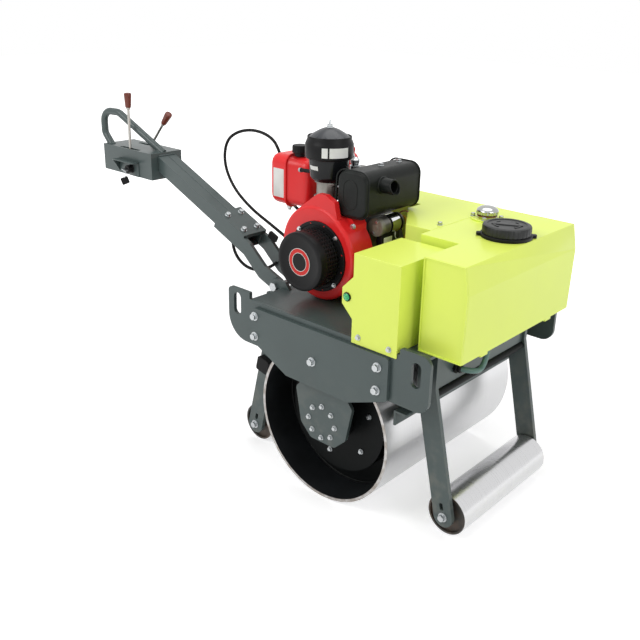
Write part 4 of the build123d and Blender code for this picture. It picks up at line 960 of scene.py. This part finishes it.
class ROLLER_OT_air_cleaner(bpy.types.Operator):
    """Builds the air cleaner: pot, band, ribbed lid, stud, blank labels, snorkel and intake flanges"""

    bl_idname = "roller.air_cleaner"
    bl_label = "Air cleaner"

    def execute(self, context):
        foot, wide, _ = foot_of("air_filter")
        waist, rim, dome, top = FILTER_WAIST, FILTER_RIM, FILTER_DOME, FILTER_TOP
        pot = lathe([
            (0.035, 0), (0.039, 0.0004), (0.0475, 0.009), (0.049, 0.014), (0.0522, waist - 0.004),
            (0.0522, waist), (0.04, waist),
        ], 72)
        belt = lathe([
            (0.05, waist), (0.0585, waist + 0.0004), (wide - 0.001, waist + 0.003), (wide, waist + 0.006),
            (wide, rim - 0.017), (wide - 0.0012, rim - 0.0145), (0.0568, rim - 0.0045),
            (0.0568, rim + 0.0012), (0.056, rim + 0.0024), (0.0543, rim + 0.0024), (0.0535, rim + 0.0012),
            (0.0535, rim - 0.003), (0.045, rim - 0.003),
        ], 96)
        # The dome falls from its top by a power of the radius
        reach = np.linspace(0.0495, 0.0075, 10)
        edge = rim + 0.0006
        curve = np.column_stack([reach, edge + (dome - edge) * (1 - (reach / LID_RADIUS) ** 1.8)])
        lid = lathe([
            (0.05, rim - 0.003), (0.053, rim - 0.003), (0.053, rim - 0.0004), (0.0515, rim + 0.0002),
            (LID_RADIUS, edge), *curve, (0.0025, dome),
        ], 144, fluted(count=12, depth=-0.014, first=5, last=7, sharp=0.85))
        nut = bolt(flat=0.013, head=0.006, washer=0.0095, sheet=0.0012)
        stud = lathe([(0.003, dome), (0.003, top - 0.0015), (0.002, top)], 16)
        piece("filter_pot", placed(pot, foot), "gloss", stands_for="air_filter")
        piece("filter_band", placed(belt, foot), "plastic")
        piece("filter_lid", placed(lid, foot), "lid")
        piece("filter_stud", merged([placed(nut, foot + (dome - 0.001) * UP), placed(stud, foot)]), "zinc")
        low, high = waist + 0.009, rim - 0.02
        label = patch(wide + 0.0003, low, high, start=-66, end=0)
        stripe = patch(wide + 0.0006, low, high, start=-52, end=-48)
        pot_label = patch(POT_LABEL_RADIUS, waist - 0.026, waist - 0.015, start=-112, end=-80, lean=0.0025)
        piece("filter_label", placed(label, foot), "pale")
        piece("filter_label_stripe", placed(stripe, foot), "gloss")
        piece("pot_label", placed(pot_label, foot), "pale")
        pipe = spots(SNORKEL_ROUTE)
        piece("filter_snorkel", tube(pipe, circle(SNORKEL_RADIUS, 16)), "rubber")
        upper = plate(width=0.074, height=0.052, corner=0.016, low=0, high=0.0066, edge=0.0012, steps=8)
        lower = plate(width=0.066, height=0.06, corner=0.014, low=-0.0385, high=-0.032, edge=0.0012, steps=8)
        piece("intake_flanges", placed(merged([upper, lower]), INTAKE_FLANGE), "alloy")
        studs = [INTAKE_FLANGE + x * FORWARD for x in (-INTAKE_STUD, INTAKE_STUD)]
        intake_nut = bolt(flat=0.01, head=0.006, washer=0.0065, sheet=0.001)
        piece("intake_nuts", repeated(intake_nut, studs, -UP), "zinc")
        end_nut = bolt(flat=0.011, head=0.005, washer=0.0065, sheet=0.001)
        piece("snorkel_nut", placed(end_nut, pipe[-1], pipe[-1] - pipe[-2]), "zinc")
        return {"FINISHED"}


# Fuel tank: its sections by place along x and how far each is drawn in; the negative ones are the seam's lip
FUEL_MIDDLE = (40, 752)
FUEL_SIZE = (0.23, 0.14)
FUEL_CORNER, FUEL_LEAST_CORNER = 0.026, 0.006
FUEL_SECTIONS = (
    (-399, 0.018), (-398.4, 0.0125), (-396, 0.0075), (-391, 0.003), (-384, 0.0006), (-378, 0), (-336.5, 0),
    (-336.3, -0.004), (-335.3, -0.0048), (-331.7, -0.0048), (-330.7, -0.004), (-330.5, 0.0012),
    (-328, 0.0025), (-280, 0.0032), (-270, 0.0045), (-262, 0.008), (-257, 0.014), (-255.4, 0.02),
    (-255, 0.026),
)
FUEL_CAP_PROFILE = (
    (0.0155, 0), (0.0155, 0.008), (0.02, 0.0085), (0.0216, 0.0095), (0.022, 0.011), (0.022, 0.0265),
    (0.0205, 0.0292), (0.0175, 0.03), (0.01, 0.0296),
)
FUEL_LABEL = at(-362, -75, 744)
FUEL_DRAIN = (-346, -48)


class ROLLER_OT_fuel_tank(bpy.types.Operator):
    """Builds the fuel tank of two pressed halves, with its ribbed cap, drain and blank label"""

    bl_idname = "roller.fuel_tank"
    bl_label = "Fuel tank fittings"

    def execute(self, context):
        rows = []
        for x, drawn in FUEL_SECTIONS:
            width, height = (size - 2 * drawn for size in FUEL_SIZE)
            outline = rounded(width, height, max(FUEL_CORNER - drawn * 0.6, FUEL_LEAST_CORNER), 8)
            rows.append(laid(outline, at(x, *FUEL_MIDDLE), LEFT, UP))
        piece("fuel_tank_shell", skin(rows), "red", stands_for="fuel_tank")
        cap = lathe(FUEL_CAP_PROFILE, 108, fluted(count=27, depth=0.035, first=3, last=6, sharp=0))
        piece("fuel_cap_ribbed", placed(cap, foot_of("fuel_cap")[0]), "plastic", stands_for="fuel_cap")
        label = plate(width=0.04, height=0.08, corner=0.002, low=-0.0004, high=0.0005, edge=0.0003, steps=5)
        piece("fuel_label", placed(label, FUEL_LABEL, RIGHT), "pale")
        bottom = face_of("fuel_tank", 2, 0) * 1000
        plug = bolt(flat=0.014, head=0.008, washer=0.01, sheet=0.002)
        screw = bolt(flat=0.009, head=0.004, washer=0.0055, sheet=0.001)
        piece("fuel_drain", merged([
            placed(plug, at(*FUEL_DRAIN, bottom + 0.5), -UP),
            placed(screw, at(*FUEL_DRAIN, bottom - 11), -UP),
        ]), "zinc")
        return {"FINISHED"}


# Muffler and tailpipe
MUFFLER_CORNER = 0.0285
MUFFLER_ROLL = 0.0022
MUFFLER_ROLL_BACK = 0.009
MUFFLER_OVAL = (0.044, 0.074, 0.0219)
MUFFLER_OVAL_BEAD = 0.0012
MUFFLER_SCREWS = ((-35, 36), (-35, -38))
TAIL_SPOT = (-0.088, 0.804)
TAIL_LENGTH = 0.034
TAIL_RADIUS = 0.019
TAIL_WALL = 0.0022
TAIL_SCARF = 0.013


class ROLLER_OT_exhaust(bpy.types.Operator):
    """Adds the muffler's rolled ends, embossed ovals and screws, and the tailpipe's rims and slanted tip"""

    bl_idname = "roller.exhaust"
    bl_label = "Exhaust"

    def execute(self, context):
        low, high = corners_of("muffler")
        front = high[0] - TAIL_LENGTH
        middle = np.array(((front + low[0]) / 2, 0, (low[2] + high[2]) / 2))
        outline = rounded(front - low[0] + 0.001, high[2] - low[2] + 0.001, MUFFLER_CORNER, 12)
        oval = rounded(*MUFFLER_OVAL, 12)
        rolls, ovals = [], []
        for face, sign in ((low[1], -1), (high[1], 1)):
            edge = laid(outline, middle + (face - sign * MUFFLER_ROLL_BACK) * LEFT)
            rolls.append(tube(edge, circle(MUFFLER_ROLL, 10), RIGHT, True))
            ovals.append(tube(laid(oval, middle + face * LEFT), circle(MUFFLER_OVAL_BEAD, 8), RIGHT, True))
        piece("muffler_rolls", merged(rolls), "muffler_black")
        piece("muffler_ovals", merged(ovals), "muffler_black")
        pipe = np.array((front, *TAIL_SPOT))
        around = laid(circle(1, 48), 0, LEFT, UP)
        rims = []
        for along, radius, size in (
            (0.001, TAIL_RADIUS + 0.0005, 0.0028),
            (TAIL_LENGTH - 0.0012, TAIL_RADIUS - 0.0014, 0.0021),
        ):
            rims.append(tube(pipe + along * FORWARD + radius * around, circle(size, 10), FORWARD, True))
        piece("tailpipe_rims", merged(rims), "muffler_black")
        # The tip reaches furthest at the bottom: its length falls with the height round the circle
        reach = TAIL_LENGTH - 0.002 + TAIL_SCARF * (0.5 - 0.5 * around[:, 2:])
        outer = TAIL_RADIUS - 0.0002
        inner = outer - TAIL_WALL
        wall = ((TAIL_LENGTH - 0.006, outer), (reach, outer), (reach, inner), (TAIL_LENGTH - 0.02, inner))
        tip = skin([pipe + radius * around + along * FORWARD for along, radius in wall], True)
        piece("tailpipe_tip", tip, "muffler_black")
        screw = bolt(*context.scene.roller_fasteners.screw_flat * MUFFLER_SCREW)
        seats = spots([(*spot, high[2] * 1000) for spot in MUFFLER_SCREWS])
        piece("muffler_screws", repeated(screw, seats), "zinc")
        return {"FINISHED"}


# Starter motor, regulator, wires and decompression lever
STARTER_RADIUS = 0.024
STARTER_SCREW_RING = 0.0165
STARTER_SCREW_START = math.radians(70)
SLEEVE_LENGTH, SLEEVE_BACK = 0.0344, 0.042
STRAP_LENGTH, STRAPS_BACK = 0.0056, (0.036, 0.0775)
REGULATOR = at(3, -46, 655)
REGULATOR_LABEL = at(3, -44, 651)
SHOULDER_SCREW = at(-36, -137, 698)
WIRES = (
    ("wire_amber", "amber", 0.003,
     ((-12, 16, 700), (2, 22, 702), (8, 24, 690), (9, 25, 668), (4, 26, 640))),
    ("wire_brown", "knob", 0.0016,
     ((-16, 16, 706), (-2, 22, 716), (10, 30, 712), (14, 34, 690), (10, 34, 650))),
    ("wire_pale", "pale", 0.0013,
     ((-14, -6, 664), (2, -14, 668), (6, -18, 658), (2, -6, 648), (-4, 10, 644))),
)
LEVER_ROD_RADIUS = 0.0034
LEVER_KNOB_SEAT = 0.003
LEVER_ROUTE = ((-139, -16, 808), (-139, -16, 828), (-141, -18, 840), (-143, -20, 849), (-144, -21, 855))
LEVER_BODY_PROFILE = (
    (0.0145, 0), (0.0152, 0.004), (0.0145, 0.011), (0.0105, 0.013), (0.0105, 0.0165), (0.0125, 0.0185),
    (0.0125, 0.0265), (0.0085, 0.03), (0.005, 0.033),
)
LEVER_KNOB_PROFILE = (
    (0.003, 0), (0.0055, 0.001), (0.0068, 0.006), (0.0062, 0.013), (0.004, 0.0165), (0.0015, 0.017))


class ROLLER_OT_electrics(bpy.types.Operator):
    """Dresses the starter motor and adds its regulator, wires and the decompression lever"""

    bl_idname = "roller.electrics"
    bl_label = "Starter and wires"

    def execute(self, context):
        low, high = corners_of("starter_motor")
        radius = STARTER_RADIUS
        axis = np.array((high[0] - radius, low[1], high[2] - radius))
        end = lathe([
            (radius + 0.0006, -0.012), (radius + 0.0006, -0.001), (radius - 0.001, 0.001),
            (radius - 0.006, 0.0016), (0.009, 0.0016), (0.0085, 0.0035), (0.004, 0.0035),
        ])
        piece("starter_end", placed(end, axis, RIGHT), "pale_alloy")
        sleeve = self.hoop(SLEEVE_LENGTH, stand=0.0008, edge=0.0004)
        strap = self.hoop(STRAP_LENGTH, stand=0.0012, edge=0.0006)
        piece("starter_sleeve", placed(sleeve, axis + SLEEVE_BACK * LEFT, LEFT), "chrome")
        piece("starter_bands", repeated(strap, [axis + back * LEFT for back in STRAPS_BACK], LEFT), "black")
        heads = laid(circle(STARTER_SCREW_RING, 2, STARTER_SCREW_START), axis + 0.0012 * RIGHT)
        end_screw = bolt(flat=0.007, head=0.003, washer=0.0045, sheet=0.0006)
        piece("starter_screws", repeated(end_screw, heads, RIGHT), "zinc")
        case = plate(width=0.046, height=0.046, corner=0.003, low=-0.018, high=0, edge=0.0015, steps=4)
        piece("regulator_box", placed(case, REGULATOR, FORWARD, LEFT), "plastic")
        label = plate(width=0.034, height=0.02, corner=0.0015, low=-0.0002, high=0.0003, edge=0.0002)
        piece("regulator_label", placed(label, REGULATOR_LABEL, FORWARD, LEFT), "pale")
        screw = bolt(flat=0.011, head=0.005, washer=0.0078, sheet=0.0012)
        piece("shoulder_screw", placed(screw, SHOULDER_SCREW, RIGHT), "zinc")
        for name, finish, thick, route in WIRES:
            path = smooth_path(spots(route), 8)
            piece(name, tube(path, circle(thick, 10)), finish)
        rod = smooth_path(spots(LEVER_ROUTE), 6)
        body = lathe(LEVER_BODY_PROFILE, 32, lobed(count=6, share=0.05, first=5))
        lever = tube(rod, circle(LEVER_ROD_RADIUS, 12))
        piece("decompression_rod", merged([lever, placed(body, rod[0])]), "zinc")
        knob = lathe(LEVER_KNOB_PROFILE, 24)
        piece("decompression_knob", placed(knob, rod[-1] - LEVER_KNOB_SEAT * UP), "red_plastic")
        return {"FINISHED"}

    def hoop(self, length, stand, edge):
        """Sleeve round the starter: a low trapezium revolved, standing proud of the case."""
        inner, outer = STARTER_RADIUS - 0.001, STARTER_RADIUS + stand
        return lathe([(inner, 0), (outer, edge), (outer, length - edge), (inner, length)])


# Water tank's fittings; its section is in x and z
CAP_COLLAR = 0.009
CAP_BOW_RADIUS = 0.031
CAP_BOW_HALF = 0.9
CAP_BOW_SECTION = (0.005, 0.003, 0.001)
CAP_EAR_START = math.radians(35)
CAP_ALONG = (0.9, 0.44, 0)
BREATHER_RADIUS = 0.026
BREATHER_SKIRT = 0.0205
BREATHER_SEAT = 0.0038
BREATHER_SCREW_START = math.radians(20)
TANK_SCREWS = ((137, -13),)
TANK_SECTION = ((258, 490), (374, 490), (377, 651), (365, 714), (258, 714))
TANK_LIP_EDGES = (0.7, 3.2)
TANK_LIP_DEPTH = 0.0035
TANK_LUGS = ((362, -144, 484), (362, 156, 484))
UNION_RADIUS, UNION_FLAT = 0.0125, 0.024
UNION_PROFILE = (
    (0.0095, 0), (UNION_RADIUS, 0.0008), (UNION_RADIUS, 0.0085), (0.0105, 0.0095), (0.0105, 0.0165),
    (0.009, 0.018), (0.007, 0.018),
)
CLAMP_DROPS = (0.012, 0.03)
CLAMP_GAP = 0.0007
CLAMP_STRIP = (0.0014, 0.007, 0.0005)


class ROLLER_OT_tank_fittings(bpy.types.Operator):
    """Fits the water tank's cap, breather, screws, lips, lugs, hose union and clamps, and the box's lamp"""

    bl_idname = "roller.tank_fittings"
    bl_label = "Tank fittings"

    def execute(self, context):
        screw = bolt(*context.scene.roller_fasteners.screw_flat * COVER_SCREW)
        self.cap()
        self.breather(screw)
        top = face_of("water_tank", 2, 1) * 1000
        piece("tank_screws", repeated(screw, spots([(*spot, top) for spot in TANK_SCREWS])), "zinc")
        side = face_of("water_tank", 1, 1)
        outer, inner = (upright(inset(TANK_SECTION, depth)) for depth in TANK_LIP_EDGES)
        lips = []
        for sign in (-1, 1):
            near, far = (sign * reach * LEFT for reach in (side - 0.001, side + TANK_LIP_DEPTH))
            rows = [outer + near, outer + far, inner + far, inner + near]
            lips.append(skin(rows[::-sign], True))
        piece("tank_lips", merged(lips), "lime")
        union = lathe(UNION_PROFILE, 36, six_sided(UNION_FLAT, UNION_RADIUS, first=1, last=2))
        piece("hose_union", placed(union, at(*HOSE_ROUTE[-1]), FORWARD, UP), "plastic")
        lug = plate(width=0.03, height=0.016, corner=0.003, low=-0.004, high=0.006, edge=0.001, steps=4)
        piece("tank_lugs", repeated(lug, spots(TANK_LUGS), UP, LEFT), "lime")
        round_hose = laid(circle(HOSE_RADIUS + CLAMP_GAP, 32), at(*HOSE_ROUTE[0]), FORWARD, LEFT)
        strip = rounded(*CLAMP_STRIP, 3)
        clamps = [tube(round_hose - drop * UP, strip, closed=True) for drop in CLAMP_DROPS]
        piece("hose_clamps", merged(clamps), "zinc")
        self.lamp()
        return {"FINISHED"}

    def cap(self):
        """Water cap: a collar with two ears, and a fluted lid with a grip and two bows, turned a little."""
        foot, wide, tall = foot_of("water_cap")
        collar, body, floor = CAP_COLLAR, wide - 0.004, tall - 0.0022
        rim = lathe([
            (wide - 0.002, 0), (wide, 0.001), (wide, collar - 0.002), (wide - 0.0015, collar - 0.0005),
            (body - 0.004, collar),
        ], 96)
        lid = lathe([
            (body - 0.002, collar - 0.001), (body, collar + 0.001), (body, tall - 0.0055),
            (body - 0.0016, tall - 0.002), (body - 0.0055, tall - 0.0004), (body - 0.011, tall - 0.0004),
            (body - 0.0125, floor), (0.02, floor),
        ], 180, fluted(count=30, depth=0.02, first=1, last=2, sharp=0.55))
        grip = plate(
            width=0.074, height=0.015, corner=0.006, low=tall - 0.004, high=tall - 0.0002, edge=0.0015,
            steps=8)
        turn = np.linspace(-CAP_BOW_HALF, CAP_BOW_HALF, 24)
        bow = CAP_BOW_RADIUS * np.stack([np.cos(turn), np.sin(turn)], -1)
        section = rounded(*CAP_BOW_SECTION, 3)
        bows = [tube(laid(sign * bow, floor * UP, FORWARD, LEFT), section) for sign in (1, -1)]
        ear = plate(
            width=0.02, height=0.016, corner=0.005, low=0.001, high=collar - 0.001, edge=0.0012, steps=6)
        outward = laid(circle(0.98, 2, CAP_EAR_START), 0, FORWARD, LEFT)
        ears = [placed(ear, wide * out, UP, out) for out in outward]
        piece("water_cap_collar", placed(merged([rim, *ears]), foot), "plastic", stands_for="water_cap")
        piece("water_cap_lid", placed(merged([lid, grip, *bows]), foot, UP, CAP_ALONG), "cap")

    def breather(self, screw):
        """Breather: a plate with four screws, a neck with a gasket, and a fluted dome from an ellipse."""
        foot, edge, tall = foot_of("breather_cap")
        wide = BREATHER_RADIUS
        bottom = lathe([
            (edge - 0.0015, 0), (edge - 0.0005, 0.0008), (edge - 0.0005, 0.003),
            (edge - 0.0015, BREATHER_SEAT), (wide - 0.006, BREATHER_SEAT),
        ], 64)
        neck = lathe([
            (wide - 0.007, 0.003), (wide - 0.007, 0.013), (wide - 0.004, 0.0135), (wide - 0.004, 0.016)])
        gasket = lathe([
            (wide - 0.007, 0.0085), (wide - 0.0005, 0.0087), (wide, 0.0098), (wide - 0.0005, 0.0112),
            (wide - 0.007, 0.0114),
        ], 64)
        turn = np.linspace(0.1, 1.5, 9)
        arch = np.column_stack([
            wide * np.cos(turn) + 0.002, BREATHER_SKIRT + (tall - BREATHER_SKIRT) * np.sin(turn)])
        dome = lathe([
            (wide - 0.003, 0.0135), (wide + 0.0015, 0.0138), (wide + 0.002, 0.0155), (wide + 0.002, 0.0195),
            *arch,
        ], 160, fluted(count=18, depth=0.06, first=1, last=3))
        piece("breather_plate", placed(merged([bottom, neck]), foot), "lime", stands_for="breather_cap")
        piece("breather_gasket", placed(gasket, foot), "knob")
        piece("breather_dome", placed(dome, foot), "bright")
        seats = laid(circle(edge - 0.006, 4, BREATHER_SCREW_START), foot + BREATHER_SEAT * UP, FORWARD, LEFT)
        piece("breather_screws", repeated(screw, seats), "zinc")

    def lamp(self):
        """Lamp on the battery box: a bezel and a stepped lens."""
        low, high = corners_of("indicator_lamp")
        face = (low + high) / 2 * (FORWARD + UP) + high * LEFT
        deep, wide = high[1] - low[1], (high[0] - low[0]) / 2
        bezel = lathe([
            (wide - 0.003, 0), (wide, 0.0002), (wide, 0.0022), (wide - 0.0012, 0.0034),
            (wide - 0.0022, 0.0034), (wide - 0.0026, 0.002),
        ], 40)
        glass = lathe([
            (wide - 0.0024, 0.001), (wide - 0.0024, 0.0044), (wide - 0.0034, 0.0052), (wide - 0.0042, 0.0046),
            (wide - 0.0055, 0.0046), (wide - 0.006, 0.0058), (0.003, deep),
        ], 40)
        piece("lamp_bezel", placed(bezel, face, RIGHT), "plastic", stands_for="indicator_lamp")
        piece("lamp_lens", placed(glass, face, RIGHT), "green")


# Welds and edges
DRUM_WALL = 0.008
HEAD_FACE = 0.176
DRUM_BEAD = 0.0045
DRUM_BEAD_STEPS = 240
EDGE_JOIN = 0.00002
EDGE_SOFT = 0.0012
EDGE_ANGLE = math.radians(40)


class ROLLER_OT_welds(bpy.types.Operator):
    """Runs the drum heads' weld beads and softens the sheet metal's edges"""

    bl_idname = "roller.welds"
    bl_label = "Welds and edges"

    def execute(self, context):
        inside = circle(DRUM_RADIUS - DRUM_WALL - 0.001, DRUM_BEAD_STEPS)
        beads = []
        for face in (-HEAD_FACE, HEAD_FACE):
            path = laid(inside, DRUM_AXIS * (FORWARD + UP) + face * LEFT)
            beads.append(tube(path, circle(DRUM_BEAD, 10), RIGHT, True, bead(DRUM_BEAD_STEPS)))
        piece("drum_welds", merged(beads), "black", "drum")
        for node in (*NODE_FINISH["grey"], *NODE_FINISH["lime"], *NODE_FINISH["red"]):
            made = frame["nodes"][node]
            joined = made.modifiers.new("joined", "WELD")
            joined.merge_threshold = EDGE_JOIN
            soft = made.modifiers.new("soft_edges", "BEVEL")
            soft.width = EDGE_SOFT
            soft.segments = 2
            soft.limit_method = "ANGLE"
            soft.angle_limit = EDGE_ANGLE
            soft.harden_normals = False
        return {"FINISHED"}


# Studio: each lamp by name, place, size and share of the key light's power
CAMERA_TARGET = at(-423.73, 227.6, 314.27)
CAMERA_SHIFT = (-0.01709, -0.03904)
LAMPS = (
    ("key_lamp", (-0.9, -2.9, 2.7), 2.2, 1.0),
    ("front_lamp", (3.1, -0.4, 1.7), 1.8, 0.36),
    ("top_lamp", (0.2, 0.4, 3.2), 2.6, 0.6),
)
LAMP_AIM = np.array((0.1, 0.0, 0.4))
FLOOR_NEAR, FLOOR_FAR = 0.9, 2.6
FLOOR_GLOW = 0.4
FLOOR_WHITE = (0.9, 0.9, 0.9, 1)


def seen_directly(wire):
    """One for rays from the camera, from reflections and through glass, and zero for others."""
    camera, glossy, through = (wire.node("ShaderNodeLightPath", out=output) for output in (0, 3, 6))
    return wire.math("MAXIMUM", wire.math("MAXIMUM", camera, glossy), through)


def standing(place, right, up, back):
    """Matrix of a camera or lamp at a place, whose own axes are right, up and back."""
    return Matrix(np.vstack([np.column_stack([right, up, back, place]), (0, 0, 0, 1)]).tolist())


def across_of(back):
    """Level right and the up that goes with it, for a view against back."""
    right = np.cross(UP, back)
    right /= np.linalg.norm(right)
    return right, np.cross(back, right)


class ROLLER_OT_studio(bpy.types.Operator):
    """Sets the camera at the photograph's place, a pale floor and soft lamps"""

    bl_idname = "roller.studio"
    bl_label = "Studio"

    def execute(self, context):
        scene = context.scene
        studio = scene.roller_studio
        scene.view_settings.view_transform = "Standard"
        self.camera(scene, studio)
        self.world(scene, studio)
        self.floor(scene, studio)
        for name, place, size, share in LAMPS:
            lamp = bpy.data.lights.new(name, "AREA")
            lamp.shape = "DISK"
            lamp.size = size
            lamp.energy = studio.key * share
            holder = bpy.data.objects.new(name, lamp)
            back = (place - LAMP_AIM) / np.linalg.norm(place - LAMP_AIM)
            holder.matrix_world = standing(place, *across_of(back), back)
            scene.collection.objects.link(holder)
        return {"FINISHED"}

    def camera(self, scene, studio):
        """Camera at a turn and a rise about its target, rolled about its own line of sight."""
        turn, rise, roll = (math.radians(a) for a in (studio.azimuth, studio.elevation, studio.roll))
        back = np.array((math.sin(turn) * math.cos(rise), -math.cos(turn) * math.cos(rise), math.sin(rise)))
        level, upward = across_of(back)
        right = math.cos(roll) * level + math.sin(roll) * upward
        up = math.cos(roll) * upward - math.sin(roll) * level
        camera = bpy.data.cameras.new("studio_camera")
        camera.lens = studio.lens
        camera.shift_x, camera.shift_y = CAMERA_SHIFT
        holder = bpy.data.objects.new("studio_camera", camera)
        holder.matrix_world = standing(CAMERA_TARGET + back * studio.distance, right, up, back)
        scene.collection.objects.link(holder)
        scene.camera = holder

    def world(self, scene, studio):
        """White where the camera and reflections look, and an even grey light elsewhere."""
        world = bpy.data.worlds.new("studio_white")
        world.use_nodes = True
        scene.world = world
        tree = world.node_tree
        shader = next(n for n in tree.nodes if n.type == "BACKGROUND")
        strength = seen_directly(Wire(tree)) * (1 - studio.ambient) + studio.ambient
        tree.links.new(strength.socket, shader.inputs["Strength"])
        shader.inputs["Color"].default_value = (1, 1, 1, 1)

    def floor(self, scene, studio):
        """Wide pale floor that looks white and keeps the roller's shadow."""
        half = studio.floor
        mesh = bpy.data.meshes.new("studio_floor")
        corners = [(-half, -half, 0), (half, -half, 0), (half, half, 0), (-half, half, 0)]
        mesh.from_pydata(corners, [], [(0, 1, 2, 3)])
        floor = bpy.data.objects.new("studio_floor", mesh)
        made = Finish("studio_floor_paint", Roughness=0.9, Base_Color=FLOOR_WHITE, Emission_Strength=1.0)
        x, y = made.axis(0), made.axis(1)
        away = made.ramp(x * x + y * y, FLOOR_NEAR ** 2, FLOOR_FAR ** 2)
        glow = seen_directly(made.wire) * (FLOOR_GLOW + away * (1 - FLOOR_GLOW))
        made.set("Emission Color", made.mix(glow, (0, 0, 0), (1, 1, 1)))
        mesh.materials.append(made.material)
        scene.collection.objects.link(floor)


STEPS = (
    "finishes", "cords", "fasteners", "handle", "recoil", "air_cleaner", "fuel_tank", "exhaust", "electrics",
    "tank_fittings", "welds", "studio",
)


class ROLLER_PT_panel(bpy.types.Panel):
    """Lists the roller's pieces in the sidebar"""

    bl_idname = "ROLLER_PT_panel"
    bl_label = "Road roller"
    bl_space_type = "VIEW_3D"
    bl_region_type = "UI"
    bl_category = "Roller"

    def draw(self, context):
        for step in STEPS:
            self.layout.operator("roller." + step)


CLASSES = (
    RollerPaints, RollerFasteners, RollerStudio, ROLLER_OT_finishes, ROLLER_OT_cords, ROLLER_OT_fasteners,
    ROLLER_OT_handle, ROLLER_OT_recoil, ROLLER_OT_air_cleaner, ROLLER_OT_fuel_tank, ROLLER_OT_exhaust,
    ROLLER_OT_electrics, ROLLER_OT_tank_fittings, ROLLER_OT_welds, ROLLER_OT_studio, ROLLER_PT_panel,
)


def register():
    """Adds the classes and the scene's settings."""
    for made in CLASSES:
        bpy.utils.register_class(made)
    bpy.types.Scene.roller_paints = PointerProperty(type=RollerPaints)
    bpy.types.Scene.roller_fasteners = PointerProperty(type=RollerFasteners)
    bpy.types.Scene.roller_studio = PointerProperty(type=RollerStudio)


def unregister():
    """Removes the scene's settings and the classes."""
    for name in ("roller_paints", "roller_fasteners", "roller_studio"):
        delattr(bpy.types.Scene, name)
    for made in reversed(CLASSES):
        bpy.utils.unregister_class(made)


def main():
    """Runs the steps in order."""
    register()
    for step in STEPS:
        getattr(bpy.ops.roller, step)()


if __name__ == "__main__":
    main()
